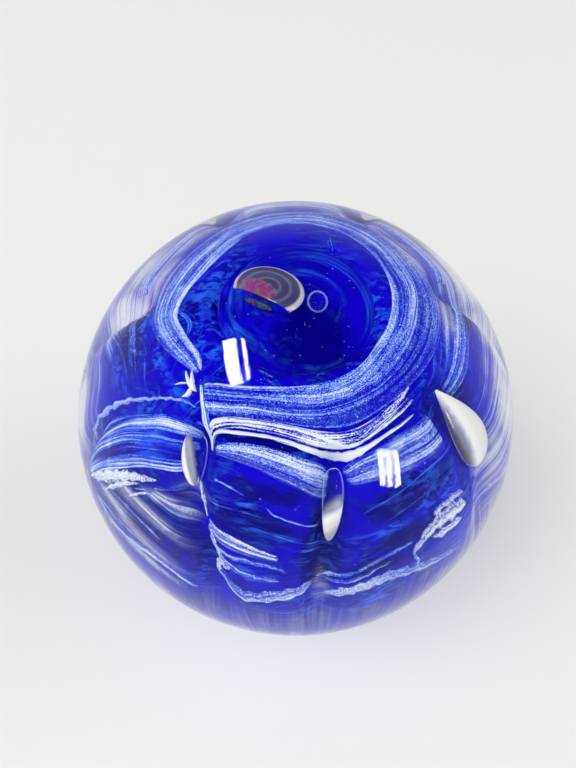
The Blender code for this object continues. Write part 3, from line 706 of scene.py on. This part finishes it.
FRIT_EDGES = {
    2: (
        ((-31.6, 51.8), (-25.2, 48.6), (-16.2, 47), (-6.9, 47.3), (2, 49.2), (9, 52), (12.6, 55.4)),
        (
            (-30.7, 54.2), (-23.5, 53.8), (-14.6, 54.4), (-6.1, 56.8), (1.9, 60), (6.8, 63.2), (10.4, 65.4),
        ),
    ),
    3: (
        ((16.8, 56), (21.9, 52.9), (28.2, 51.9), (35.1, 51.4), (41.7, 51.4), (49.4, 52.2), (58.6, 54)),
        ((18.6, 61), (25.2, 61.4), (30.8, 62.2), (36.2, 63.4), (42, 64.6), (49, 65.8), (58.4, 67)),
    ),
}
FRIT_PALE = {
    8: (
        (0.4, 0.46, 0.4, 0.3, 0.2), (0.2, 0.3, 0.24, 0.16, 0.1), (0.06, 0.14, 0.1, 0.06, 0),
        (0, 0.04, 0.06, 0, -0.1),
    ),
    2: (
        (0.66, 0.7, 0.58, 0.48, 0.38, 0.46), (0.72, 0.64, 0.54, 0.56, 0.44, 0.36),
        (0.7, 0.66, 0.56, 0.46, 0.4, 0.32), (0.7, 0.7, 0.64, 0.5, 0.44, 0.4), (0.72, 0.72, 0.66, 0.56, 0.46, 0.4),
    ),
    3: (
        (0.6, 0.64, 0.6, 0.52, 0.56, 0.34), (0.58, 0.68, 0.76, 0.68, 0.46, 0.36), (0.62, 0.8, 0.84, 0.66, 0.54, 0.4),
        (0.68, 0.86, 0.88, 0.64, 0.6, 0.36), (0.72, 0.88, 0.78, 0.56, 0.5, 0.26),
    ),
}
LOBE_TOP = (
    (-38.5, 49), (-44.5, 48.4), (-52, 50.6), (-59, 54.6), (-66, 60.2), (-72.5, 67.6), (-77.5, 76.5), (-80, 88),
    (-80, 97),
)
LOBE_FOOT = (
    (-36, 63), (-40.5, 66), (-46, 68), (-52, 71.6), (-58, 77), (-64, 84), (-69, 91), (-73.5, 97), (-77, 101),
)
LOBE_PALE = (
    (0.6, 0.56, 0.52, 0.44, 0.34, 0.34, 0.88, 0.82), (0.78, 0.58, 0.6, 0.54, 0.34, 0.36, 0.9, 0.8),
    (0.82, 0.62, 0.6, 0.6, 0.4, 0.36, 0.92, 0.78), (0.84, 0.66, 0.68, 0.6, 0.48, 0.42, 0.88, 0.8),
    (0.86, 0.72, 0.68, 0.68, 0.64, 0.6, 0.82, 0.78), (0.88, 0.78, 0.72, 0.72, 0.74, 0.7, 0.8, 0.8),
)
LOBE_RIM = (
    (-43, 44.6, 0.3), (-51, 45.6, 0.5), (-60, 50.2, 0.6), (-68, 57, 0.6), (-74.5, 65, 0.7), (-79.5, 76, 0.8),
    (-82.5, 90, 0.8), (-82, 101, 0.5),
)
BURST = (
    (
        (-46, 71.6, 0.4), (-51, 74.6, 1.1), (-57, 78.8, 1.7), (-63, 84.6, 2.1), (-70, 92.6, 2), (-77, 100, 1.1),
    ),
    ((-52.5, 77.6, 0.3), (-57, 81.6, 0.8), (-62, 87.6, 1), (-67, 94.6, 0.7)),
    ((-47, 77, 0.2), (-51, 80.4, 0.5), (-55.5, 85.6, 0.4)),
)
HATCH_TOP = ((-28.4, 77.2), (-20, 77.3), (-12.2, 79.7), (-4.6, 82))
HATCH_FOOT = ((-26.2, 83.2), (-19.4, 83.4), (-12.1, 84.2), (-4.2, 85))
HATCH_PALE = ((1, 0.6, 0.9, 0.8), (0.95, 0.5, 0.85, 0.7), (0.85, 0.46, 0.75, 0.5), (0.7, 0.4, 0.6, 0.4))
LOWER_HATCH = (
    ((-26.4, 86.4, 0.7), (-20, 86, 1.1), (-12, 86, 1.1), (-5.1, 87, 0.8), (-2, 89, 0.4)),
    ((-25, 90.2, 0.8), (-20, 90, 1.5), (-14, 91.2, 1.7), (-9, 92.2, 1.3), (-4, 92.8, 0.6)),
)
WAIST_LINES = {
    1: (
        (-73, 103, 0.6), (-64, 104.6, 0.9), (-54, 104, 1.1), (-44, 102.6, 1.1), (-36, 104.6, 0.9), (-30, 109, 0.5),
    ),
    2: (
        (-24.5, 99.8, 2.2), (-19.5, 102, 2.8), (-14.8, 103.9, 3), (-9.5, 102.6, 3.1), (-3, 100.4, 3.1),
        (2, 99.4, 2.9), (6, 98.8, 2),
    ),
    3: (
        (8.8, 107, 1.2), (13.6, 102.4, 2.2), (18.5, 100.5, 2.5), (24, 99.3, 2.6), (29, 99, 2.6), (34.5, 100.6, 2.4),
        (41, 102.8, 2), (48, 104.6, 1.6), (55, 107, 0.9),
    ),
}


def hidden_lobe_edges(lobe):
    """Edges of a shoulder sheet on a lobe of the far side, from just past one crease to just before the next."""
    first, second = crease_azimuth(lobe - 1, 57.0) + 5.0, crease_azimuth(lobe, 57.0) - 5.0
    shares = np.linspace(0.0, 1.0, 6)
    arch = np.sin(math.pi * shares)
    line = first + (second - first) * shares
    return np.stack((line, 55.0 - 3.0 * arch), axis=-1), np.stack((line, 60.0 - 0.5 * arch), axis=-1)


def hidden_waist_line(lobe):
    """A waist line on a lobe of the far side: a low arch from crease to crease."""
    first, second = crease_azimuth(lobe - 1, 102.0) + 4.0, crease_azimuth(lobe, 102.0) - 4.0
    shares = np.linspace(0.0, 1.0, 5)
    arch = np.sin(math.pi * shares)
    return np.stack((first + (second - first) * shares, 102.5 + 2.5 * arch, 0.8 + 0.8 * arch), axis=-1)


# Thread glass: how sharp its threads are and how strongly they show.
THREAD_GLASS = {
    "ice_blue_glass": (1.0, 1.05),
    "milk_white_glass": (1.0, 1.35),
    "frit_glass": (1.2, 1.1),
    "mottled_glass": (0.9, 0.95),
    "crusty_white_glass": (1.2, 1.1),
    "misty_glass": (1.4, 0.75),
    "deep_cobalt_glass": (0.6, 0.7),
}


@cache
def thread_glass(name):
    tree = Tree(name)
    sharp, gain = THREAD_GLASS[name]
    flow = tree.attribute("flow", "Vector")
    return tree.solid(tree.paint(tree.threads(flow, sharp), flow, gain))


def add_sheets(node, glass, bodies, in_cad=True):
    make_piece(f"{node}_glass", bodies, thread_glass(glass), [node] if in_cad else [])


def ribbons(routes, seed, pale, **settings):
    return [ribbon(route, seed + index, pale, **settings) for index, route in enumerate(routes)]


def add_ribbons():
    collar = sheet(SWIRL_INNER, SWIRL_OUTER, 1, SWIRL_PALE, white=0.20, grit=0.95, mist=0.03, across=40, soft=0.25,
                   ends=0.008)
    add_sheets("swirl_collar", "ice_blue_glass", [collar])
    fold = sheet(*FOLD, 2, FOLD_PALE, white=0.55, across=10, soft=0.2, rise=0.00045)
    add_sheets("collar_fold", "ice_blue_glass", [fold])
    crest = [sheet(CREST_TOP, CREST_FOOT, 3, CREST_PALE, white=0.85, grit=0.70, rise=0.00055, across=28, soft=0.3),
             ribbon(CREST_UPPER, 4, 1.05, white=0.95, grit=0.5, rise=0.0007, soft=0.3),
             *ribbons(CREST_STRANDS, 26, 0.80, white=0.75, grit=1.3, rise=0.0007, ragged=0.3, soft=0.4)]
    add_sheets("upper_crest", "milk_white_glass", crest)
    add_sheets("lower_crest", "milk_white_glass",
               [ribbon(CREST_LINE, 5, 1.15, white=1.0, grit=0.1, rise=0.0006, soft=0.25)])
    add_sheets("left_lobe_edge", "mottled_glass",
               ribbons(BURST, 30, 0.86, white=0.80, grit=1.2, ragged=0.30, across=14, soft=0.6))
    hatch = sheet(HATCH_TOP, HATCH_FOOT, 8, HATCH_PALE, white=0.62, grit=1.0, across=18, soft=0.5)
    add_sheets("upper_hatch", "milk_white_glass", [hatch])
    add_sheets("lower_hatch", "mottled_glass",
               ribbons(LOWER_HATCH, 36, 0.72, white=0.4, grit=1.0, ragged=0.3, across=12, soft=0.7))
    for lobe in range(1, len(CREASES) + 1):
        if lobe == 1:
            shoulder = sheet(LOBE_TOP, LOBE_FOOT, 9, LOBE_PALE, white=0.36, grit=0.45, across=28, soft=0.15)
        else:
            edges = FRIT_EDGES[lobe] if lobe in FRIT_EDGES else hidden_lobe_edges(lobe)
            shoulder = sheet(*edges, 10 + lobe, FRIT_PALE.get(lobe, FRIT_PALE[3]), white=0.30, grit=1.0,
                             mist=0.10 if lobe in FRIT_EDGES else 0.0, across=26, soft=0.6)
        add_sheets(f"shoulder_band_{lobe}", "frit_glass", [shoulder])
        waist = WAIST_LINES[lobe] if lobe in WAIST_LINES else hidden_waist_line(lobe)
        waist = ribbon(waist, 50 + lobe, WAIST_PALE, white=0.46, grit=1.1, ragged=0.25, across=16, soft=0.6)
        add_sheets(f"lower_band_{lobe}", "mottled_glass", [waist])


# Eye ----------------------------------------

EYE_EDGE, EYE_RIM = 25.2, 1.6
EYE_AROUND = 220


def add_eye():
    """Deep blue disc filling the pit: a curved plate whose edge dives into the pit's wall."""
    top, flat = CORE_RADIUS - PIT_DEPTH + 0.0011, EYE_EDGE - EYE_RIM
    turn = np.linspace(0.0, math.pi / 2, 6)
    polar = np.concatenate((np.linspace(0.4, flat, 60), flat + EYE_RIM * np.sin(turn)[1:], (EYE_EDGE - 1.0, 0.4)))
    drop = np.concatenate((np.zeros(60), 0.0005 * (1.0 - np.cos(turn))[1:], (0.0009, 0.0011)))
    azimuths, polars = np.meshgrid(np.linspace(0.0, 360.0, EYE_AROUND, endpoint=False), polar)
    fade = 1.0 - smooth(polars, 14.0, EYE_EDGE - 2 * EYE_RIM)
    ripple = 0.00010 * np.sin(np.radians(azimuths * 2.0 - polars * 14.0)) * fade
    turned = np.radians(azimuths + polars * 5.0)
    drawn = np.radians(polars) * CORE_RADIUS * MM + 1.4 * np.cos(turned) + 0.7 * np.sin(2.0 * turned)
    flow = np.stack((np.sin(turned / 2.0) * 14.0, drawn * 0.55, polars * 0.0 + 70.0), axis=-1)
    # One deep patch darkens the disc's front half: painted shade from the pit's front wall.
    strength = {name: patches(name, azimuths, polars) for name in ("white", "deep", "haze_and_rim_light", "bright")}
    pale, grit = 0.22 * strength["bright"] - 0.30, np.full_like(polars, 0.25)
    rings = on_sphere(azimuths, polars, top - drop[:, None] + ripple)
    disc = body(rings, flow=flow, pale=pale, grit=grit, **strength)
    add_sheets("eye_disc", "deep_cobalt_glass", [disc])


# Bubbles ----------------------------------------

# Crease, top and bottom polar angle, half-width, half-thickness, and where it is fattest, 0 at the top.
TEARDROPS = {
    "teardrop_bubble_left": (1, 50.5, 66.5, 0.0022, 0.0011, 0.42),
    "teardrop_bubble_front": (2, 54.0, 77.5, 0.0016, 0.0011, 0.38),
    "teardrop_bubble_right": (3, 50.0, 83.5, 0.0036, 0.0012, 0.70),
    "teardrop_bubble_back_1": (5, 82.0, 98.0, 0.0020, 0.0010, 0.42),
    "teardrop_bubble_back_2": (6, 80.0, 99.0, 0.0022, 0.0010, 0.50),
}
TEARDROP_MID_RADIUS = 0.0283
TEARDROP_RINGS, TEARDROP_AROUND = 60, 48
AIR_IOR = 0.88
RING_RATE = 21.0
# Colour of the painted reflection on bubble rims.
PAINTED_RIM_REFLECTION = (0.70, 0.74, 0.90, 1.0)
# Painted bubble skin: lavender grey and shade grey are painted shade, off-white and cream the painted reflection of
# the floor.
LAVENDER_GREY, OFF_WHITE, SHADE_GREY = (0.34, 0.35, 0.50), (0.92, 0.92, 0.88), (0.40, 0.41, 0.46)
# Where a teardrop's skin carries painted reflection and shade: how strongly its lower end and its right side do,
# where that begins, and how strong it gets.
PAINTED_SKIN_SIDES = {
    "teardrop_bubble_left": ((0.8, -1.0), 0.50, 0.72),
    "teardrop_bubble_front": ((1.3, 0.15), 0.45, 1.0),
    "teardrop_bubble_right": ((0.30, 1.0), -0.55, 0.64),
}
HIDDEN_PAINTED_SKIN = ((0.5, 0.5), 0.2, 0.8)


def clear_air(tree):
    """Air in glass: it bends light away, and lets through what lights the things behind it."""
    return tree.let_through(tree.shader("Glass", {"Color": AIR_TINT, "Roughness": 0.0, "IOR": AIR_IOR}))


def air_glass(name, whitened):
    """A bubble whose rim shines by a painted reflection. A whitened one's skin, painted reflection and shade, goes
    from clear to white, cream and grey.
    """
    tree = Tree(name)
    # Pale skin at grazing angles: a painted reflection round the bubble's rim.
    slant = tree.node("ShaderNodeLayerWeight", {"Blend": 0.5}).outputs["Facing"]
    shine = tree.shader("Principled", {"Base Color": PAINTED_RIM_REFLECTION, "Roughness": 0.2})
    skin = tree.blend(tree.ease(slant, 0.42, 0.95, 0.0, 0.9), clear_air(tree), shine)
    if not whitened:
        return tree.finish(skin)
    # Painted reflection of the pale floor and painted shade on the skin, set by its attribute and a little noise.
    amount = tree.add(tree.attribute("milk"), tree.centred(tree.noise(tree.place(), scale=0.8, detail=3.0), 0.12))
    colour = LAVENDER_GREY
    for low, high, further in ((0.22, 0.46, OFF_WHITE), (0.52, 0.72, CREAM), (0.74, 1.0, SHADE_GREY)):
        colour = tree.mix(tree.ease(amount, low, high), colour, further)
    milk = tree.shader("Principled", {"Base Color": colour, "Roughness": 0.12, "Specular IOR Level": 0.5})
    return tree.finish(tree.blend(tree.ease(amount, 0.06, 0.30), skin, milk))


def film_glass(name):
    """The eye bubble's grey skin: faint rings, a pale rim painted as a reflection, and an oily patch of colours near
    its front edge.
    """
    tree = Tree(name)
    place, ring = tree.place(), tree.attribute("ring")
    waves = tree.math("SINE", tree.math("MULTIPLY_ADD", ring, RING_RATE, tree.noise(place, scale=0.7)))
    grey = tree.mix(tree.ease(waves, 0.1, 1.0), (0.055, 0.055, 0.120), (0.125, 0.130, 0.225))
    # The pale ring round the edge is a painted reflection.
    grey = tree.mix(tree.ease(ring, 0.87, 0.94), grey, (0.60, 0.57, 0.56))
    grain = tree.noise(place, scale=1.1, detail=3.0, roughness=0.7)
    film = tree.mix(tree.ease(grain, 0.36, 0.48), (0.16, 0.03, 0.42), (0.34, 0.05, 0.14))
    film = tree.mix(tree.ease(grain, 0.52, 0.62), film, (0.07, 0.22, 0.14))
    oily = tree.add(tree.attribute("film"), tree.centred(grain, 0.6))
    colour = tree.mix(tree.ease(oily, 0.35, 0.55), grey, film)
    skin = tree.shader("Principled", {"Base Color": colour, "Roughness": 0.15})
    return tree.finish(tree.blend(tree.multiply(tree.attribute("crown"), 0.88), clear_air(tree), skin))


def teardrop(name):
    crease, top, bottom, half_width, half_thickness, fattest = TEARDROPS[name]
    down = np.linspace(0.02, 0.98, TEARDROP_RINGS) * math.pi
    turn = np.linspace(0.0, 2.0 * math.pi, TEARDROP_AROUND, endpoint=False)
    drop = ((1.0 - np.cos(down)) / 2.0)[:, None] + np.zeros(TEARDROP_AROUND)
    polar = top + (bottom - top) * drop ** (math.log(fattest) / math.log(0.5))
    reach = np.sin(down)[:, None]
    across = np.cos(turn) * reach
    turned = across * half_width / (CORE_RADIUS * np.sin(np.radians(polar)))
    azimuth = crease_azimuth(crease, polar) + np.degrees(turned)
    # Where the skin gets its painted reflection and shade: towards its lower end and its right side.
    (low_end, right_side), start, most = PAINTED_SKIN_SIDES.get(name, HIDDEN_PAINTED_SKIN)
    lean = low_end * (2.0 * drop - 1.0) + right_side * across
    milk = most * smooth(lean, start - 0.60, start + 0.80)
    return body(on_sphere(azimuth, polar, TEARDROP_MID_RADIUS + np.sin(turn) * reach * half_thickness), milk=milk)


def local_frame(azimuth, polar, radius, turn=0.0):
    """Frame at a place on the core, turned about its Z: X across, Y away from the front, Z straight out."""
    out = Vector(directions(azimuth, polar))
    across = Vector((0.0, 1.0, 0.0)).cross(out).normalized()
    axes = Matrix((across, out.cross(across), out)).transposed().to_4x4()
    return Matrix.Translation(Vector(CENTRE) + out * radius) @ axes @ Matrix.Rotation(math.radians(turn), 4, "Z")


def bubble_body(axes, where, flat=None):
    """Round bubble, or one cut flat in front at this local Y, with how far out each point is and where its film lies.
    """
    down = np.linspace(0.01, 0.99, BUBBLE_RINGS) * math.pi
    turn = np.linspace(0.0, 2.0 * math.pi, BUBBLE_AROUND, endpoint=False)
    reach, height = np.sin(down)[:, None], np.cos(down)[:, None] + np.zeros(BUBBLE_AROUND)
    x, y = np.cos(turn) * reach, np.sin(turn) * reach
    ring = np.hypot(x, y)
    crown = smooth(height, -0.35, 0.05)
    if flat is not None:
        crown = crown * (y > flat / axes[1] + 0.01)
        y = np.maximum(y, flat / axes[1])
    film = 1.3 * np.exp(-(((x - FILM_X) / 0.56) ** 2) - ((y - FILM_Y) / 0.36) ** 2)
    local = np.stack((x, y, height), axis=-1) * axes
    turned, middle = np.array(where.to_3x3()), np.array(where.translation)
    return body(local @ turned.T + middle, ring=ring, film=film, crown=crown)


# Bubbles on the eye, as in the CAD: azimuth and polar angle, semi-axes, turn, and where the large one is cut flat.
BUBBLE_FLOOR = 0.0272
EYE_BUBBLE = ((-104.0, 8.2), (0.0056, 0.0042, 0.0015), -33.0, -0.0021)
SMALL_BUBBLE = ((73.0, 6.5), (0.0015, 0.0018, 0.0013))
FLECK = ((0.0024, 0.00045, 0.0007), -0.00285)
FILM_X, FILM_Y = -0.20, -0.26
BUBBLE_RINGS, BUBBLE_AROUND = 90, 96


def add_bubbles():
    whitened = air_glass("air_with_painted_reflection", True)
    for name in TEARDROPS:
        make_piece(f"{name}_skin", [teardrop(name)], whitened, [name])
    place, axes, turn, flat = EYE_BUBBLE
    where = local_frame(*place, BUBBLE_FLOOR + axes[2], turn)
    make_piece("eye_bubble_skin", [bubble_body(axes, where, flat)], film_glass("film_on_air"),
               ["eye_bubble"])
    fleck_axes, forward = FLECK
    fleck = bubble_body(fleck_axes, where @ Matrix.Translation((0.0, forward, 0.0)))
    tree = Tree("iridescent_film")
    bands = tree.noise(tree.place(), scale=1.3, detail=2.0)
    colour = tree.mix(tree.ease(bands, 0.38, 0.50), (0.07, 0.01, 0.22), (0.02, 0.13, 0.09))
    colour = tree.mix(tree.ease(bands, 0.54, 0.64), colour, (0.12, 0.02, 0.06))
    make_piece("iridescent_fleck_film", [fleck], tree.solid(colour), ["iridescent_fleck"])
    place, axes = SMALL_BUBBLE
    small = bubble_body(axes, local_frame(*place, BUBBLE_FLOOR + axes[2]))
    make_piece("small_bubble_skin", [small], air_glass("trapped_air", False), ["small_bubble"])


# White details ----------------------------------------

# Ribbons: (azimuth, polar, half-width) points.
SPLINTER_RAYS = (
    ((-60, 39.2, 0.2), (-56, 40.4, 0.6), (-52, 41, 1), (-48.6, 41, 0.5)),
    ((-57.6, 37.6, 0.2), (-54.5, 39.4, 0.6), (-51.5, 40.6, 0.8)),
    ((-52, 40.8, 0.6), (-51.5, 43.2, 0.8), (-52.6, 45.2, 0.3)),
    ((-55, 41.2, 0.4), (-57.5, 42.8, 0.3), (-59, 44.4, 0.15)),
)
LUMP_STRANDS = (
    (
        (36, 92.4, 0.9), (39.5, 89.4, 1.4), (43.5, 87, 2.6), (48, 86.6, 3.4), (52.5, 87.4, 3.2), (57.5, 88.8, 1.8),
    ),
    ((43, 90.6, 1.2), (47, 91.6, 2), (51, 92, 1.9), (55, 92.4, 1.2)),
    ((44, 82.6, 0.6), (48, 81.4, 1.1), (53, 82, 1.1), (57, 83.6, 0.6)),
)
CREASE_CRUMBS = (
    ((-34.5, 65.6, 0.5), (-33, 68.6, 0.9), (-31.2, 71.6, 1), (-29.8, 74.2, 0.6), (-28.4, 77.6, 0.5)),
    (
        (-27.8, 79, 0.8), (-26.6, 83, 1.3), (-25.2, 86.6, 1.5), (-23.2, 90, 1.4), (-22.6, 93.4, 1.3),
        (-24, 97.2, 1.2), (-23.4, 101, 0.8),
    ),
    ((-24, 88.6, 0.5), (-20.5, 89.8, 0.8), (-19.8, 92.6, 0.8), (-22, 95.6, 0.5)),
)
ARCS = (
    ((-54, 81, 0.3), (-48, 76.2, 0.45), (-43.7, 73.1, 0.45), (-36, 69.6, 0.3)),
    (
        (-74.5, 103.1, 0.3), (-65.8, 101, 0.5), (-56.3, 101.2, 0.5), (-46.7, 101.2, 0.45), (-38, 102.4, 0.35),
    ),
    ((-72, 96, 0.3), (-66, 92.2, 0.5), (-58, 90, 0.5), (-49, 90.2, 0.4), (-41, 92, 0.3)),
)
RIGHT_STRANDS = (
    (
        (6.6, 97.4, 0.6), (11, 94.8, 0.8), (15.7, 93, 0.8), (20.4, 91.1, 0.7), (25.4, 89, 0.8), (30.5, 88.2, 0.7),
        (36.5, 87.5, 0.5),
    ),
    ((9, 97.8, 0.4), (14, 96.4, 0.8), (20, 94.6, 1), (25, 92.2, 0.9), (30, 91.6, 0.6)),
    ((36, 92, 0.3), (37, 95, 0.6), (38, 98, 0.5), (37, 101, 0.3)),
)
FAINT_LINES = (
    ((-17.5, 107.8, 0.5), (-12, 108.6, 0.7), (-5, 107.2, 0.8), (3, 105.2, 0.6)),
    ((-9, 65.4, 0.2), (-6.5, 67.6, 0.3), (-1, 69.4, 0.4), (8, 73, 0.3)),
    ((-28, 61, 0.4), (-22, 61.4, 0.5), (-16, 63, 0.3)),
)


def add_white_details():
    add_sheets("star_splinter", "crusty_white_glass",
               ribbons(SPLINTER_RAYS, 60, 1.2, white=1.0, grit=0.1, rise=0.0005, taper=0.3))
    add_sheets("white_lump", "mottled_glass",
               ribbons(LUMP_STRANDS, 66, 0.82, white=0.8, grit=1.6, rise=0.0006, ragged=0.4, across=14, soft=0.6))
    for name, glass, slot, bodies in (
        ("crease_crumbs", "crusty_white_glass", "milk_white_glass",
         ribbons(CREASE_CRUMBS, 72, 0.76, white=0.75, grit=1.0, ragged=0.35, across=12, soft=0.5)),
        ("lobe_arcs", "misty_glass", "ice_blue_glass",
         ribbons(ARCS, 78, 0.60, white=0.25, grit=0.8, mist=0.20, ragged=0.3, soft=0.7)),
        ("lobe_rim", "crusty_white_glass", "ice_blue_glass",
         ribbons([LOBE_RIM], 84, 0.52, white=0.1, grit=0.9, ragged=0.5)),
        ("right_strands", "crusty_white_glass", "ice_blue_glass",
         ribbons(RIGHT_STRANDS, 86, 0.8, white=0.45, grit=0.7, ragged=0.4)),
        ("faint_lines", "crusty_white_glass", "ice_blue_glass",
         ribbons(FAINT_LINES, 92, 0.6, white=0.3, grit=0.8, ragged=0.4, rise=0.0002)),
    ):
        add_sheets(name, glass, bodies, in_cad=False)


# Dome ----------------------------------------

DOME_AROUND, DOME_RINGS = 360, 190
# Taken off the dome's mirror share, so that a face seen straight on stays clear.
MIRROR_CUT = 0.032
BASE_BEVEL = 0.0006


def add_dome():
    """The clear casing: one solid of glass from the dome's face to the ground base."""
    base_polar = math.degrees(math.acos((BASE_Z - CENTRE[2]) / DOME_RADIUS))
    polar = np.radians(np.linspace(0.5, base_polar - math.degrees(BASE_BEVEL / DOME_RADIUS), DOME_RINGS))
    radius, height = DOME_RADIUS * np.sin(polar), CENTRE[2] + DOME_RADIUS * np.cos(polar)
    flat = radius[-1] - 0.0007
    corner = np.linspace(0.0, math.pi / 2, 6)[1:]
    base = np.linspace(flat, 0.0006, 24)[1:]
    bevel = BASE_Z + (height[-1] - BASE_Z) * (1 - np.sin(corner))
    height = np.concatenate((height, bevel, np.full_like(base, BASE_Z)))
    radius = np.concatenate((radius, flat + (radius[-1] - flat) * np.cos(corner), base))[:, None]
    turn = np.linspace(0.0, 2.0 * math.pi, DOME_AROUND, endpoint=False)
    rings = (radius * np.sin(turn), -radius * np.cos(turn), height[:, None] + np.zeros(DOME_AROUND))
    tree = Tree("clear_glass")
    bent = tree.shader("Refraction", {"Color": CLEAR, "Roughness": 0.0, "IOR": GLASS_IOR})
    mirrored = tree.shader("Glossy", {"Color": (1.0, 1.0, 1.0, 1.0), "Roughness": 0.0})
    slant = tree.node("ShaderNodeFresnel", {"IOR": GLASS_IOR}).outputs[0]
    shader = tree.blend(tree.math("SUBTRACT", slant, MIRROR_CUT, clamp=True), bent, mirrored)
    make_piece("clear_casing_glass", [body(np.stack(rings, axis=-1))], tree.finish(tree.let_through(shader)),
               ["clear_casing"])


# Stage ----------------------------------------


FLOOR_RADIUS = 0.8
FLOOR_GAP = 0.00015
FLOOR_PAPER = {"Base Color": (0.84, 0.84, 0.825, 1.0), "Roughness": 0.9, "Specular IOR Level": 0.1}
# The room's brightness from straight below to straight above, as heights from 0 to 1.
ROOM_STOPS = ((0.0, 0.92), (0.15, 0.88), (0.32, 0.60), (0.50, 0.16), (0.70, 0.04), (1.0, 0.02))
# Soft panels that light the object and show in nothing: direction, distance, size and power.
PANELS = {
    "sky_panel": ((-0.25, -0.30, 0.90), 2.0, (3.2, 3.2), 40.0),
    "key_panel": ((-0.62, -0.20, 0.76), 1.6, (1.3, 1.3), 9.0),
    "fill_panel": ((0.90, 0.05, 0.45), 1.5, (1.2, 1.2), 8.0),
}
# Windows, seen only in the glass: direction, roll, power, size, and how far each pane is moved in its own plane.
WINDOWS = {
    "left_window": ((-0.47, -0.13, 0.87), 6.0, 21.0, (0.118, 0.40), ((0.030, 0.0),)),
    "left_window_bar": ((-0.47, -0.13, 0.87), 6.0, 5.0, (0.034, 0.37), ((-0.086, 0.0),)),
    "right_window": ((0.70, -0.66, 0.24), 0.0, 5.0, (0.052, 0.30), ((-0.066, 0.03), (0.0, 0.0), (0.064, -0.03))),
}


def add_floor():
    around = 96
    turn = np.linspace(0.0, 2.0 * math.pi, around, endpoint=False)
    edge = (FLOOR_RADIUS * np.cos(turn), FLOOR_RADIUS * np.sin(turn), np.full(around, BASE_Z - FLOOR_GAP))
    mesh = bpy.data.meshes.new("floor")
    mesh.from_pydata(np.stack(edge, axis=-1).tolist(), [], [list(range(around))])
    tree = Tree("floor_paper")
    mesh.materials.append(tree.finish(tree.shader("Principled", FLOOR_PAPER)))
    floor = bpy.data.objects.new("floor", mesh)
    bpy.context.scene.collection.objects.link(floor)


def area_light(name, direction, distance, size, power, roll=0.0):
    """Lamp facing the dome from a direction, its height upright as the dome mirrors it to the front."""
    data = bpy.data.lights.new(name, "AREA")
    data.shape = "RECTANGLE"
    data.size, data.size_y = size
    data.energy = power
    light = bpy.data.objects.new(name, data)
    toward = Vector(direction).normalized()
    up = Vector((1.0, 0.0, 0.0)).cross(toward).normalized()
    axes = Matrix((up.cross(toward), up, toward)).transposed().to_4x4()
    place = Matrix.Translation(Vector(CENTRE) + toward * distance)
    light.matrix_world = place @ axes @ Matrix.Rotation(roll, 4, "Z")
    bpy.context.scene.collection.objects.link(light)
    return light


def add_room():
    """World that is pale near the floor and dark above, as the photographed glass mirrors it."""
    world = bpy.data.worlds.new("room")
    bpy.context.scene.world = world
    world.use_nodes = True
    nodes, links = world.node_tree.nodes, world.node_tree.links
    direction = nodes.new("ShaderNodeTexCoord")
    split = nodes.new("ShaderNodeSeparateXYZ")
    ramp = nodes.new("ShaderNodeValToRGB")
    links.new(direction.outputs["Generated"], split.inputs[0])
    links.new(split.outputs["Z"], ramp.inputs[0])
    links.new(ramp.outputs["Color"], nodes["Background"].inputs["Color"])
    while len(ramp.color_ramp.elements) < len(ROOM_STOPS):
        ramp.color_ramp.elements.new(0.5)
    for element, (height, level) in zip(ramp.color_ramp.elements, ROOM_STOPS):
        element.position = height
        element.color = (level, level, level * 1.01, 1.0)


def add_lights():
    """Soft light from above and the left, and two windows that show only as reflections in the glass."""
    for name, settings in PANELS.items():
        panel = area_light(name, *settings)
        panel.visible_glossy = panel.visible_transmission = False
    for name, (aim, roll, power, size, shifts) in WINDOWS.items():
        for count, shift in enumerate(shifts):
            pane = area_light(f"{name}_{count}", aim, 1.0, size, power, math.radians(roll))
            pane.location += pane.matrix_world.to_3x3() @ Vector((*shift, 0.0))
            pane.visible_diffuse = False


def add_camera():
    data = bpy.data.cameras.new("camera")
    data.lens = LENS_MM
    data.sensor_width = SENSOR_MM
    camera = bpy.data.objects.new("camera", data)
    tilt = math.radians(CAMERA_ELEVATION)
    camera.location = Vector(CENTRE) + CAMERA_DISTANCE * Vector((0.0, -math.cos(tilt), math.sin(tilt)))
    aim = Vector(CENTRE) + CAMERA_AIM - camera.location
    camera.rotation_euler = aim.to_track_quat("-Z", "Y").to_euler()
    data.clip_start = 0.005
    bpy.context.scene.collection.objects.link(camera)
    bpy.context.scene.camera = camera


def set_rendering():
    bpy.context.scene.view_settings.view_transform = "Standard"
    cycles = bpy.context.scene.cycles
    cycles.max_bounces = 24
    cycles.transmission_bounces = cycles.transparent_max_bounces = 16
    cycles.diffuse_bounces = 4
    cycles.glossy_bounces = 6
    cycles.caustics_refractive = cycles.caustics_reflective = False


add_core()
add_eye()
add_ribbons()
add_bubbles()
add_white_details()
add_dome()
add_floor()
add_room()
add_lights()
add_camera()
set_rendering()
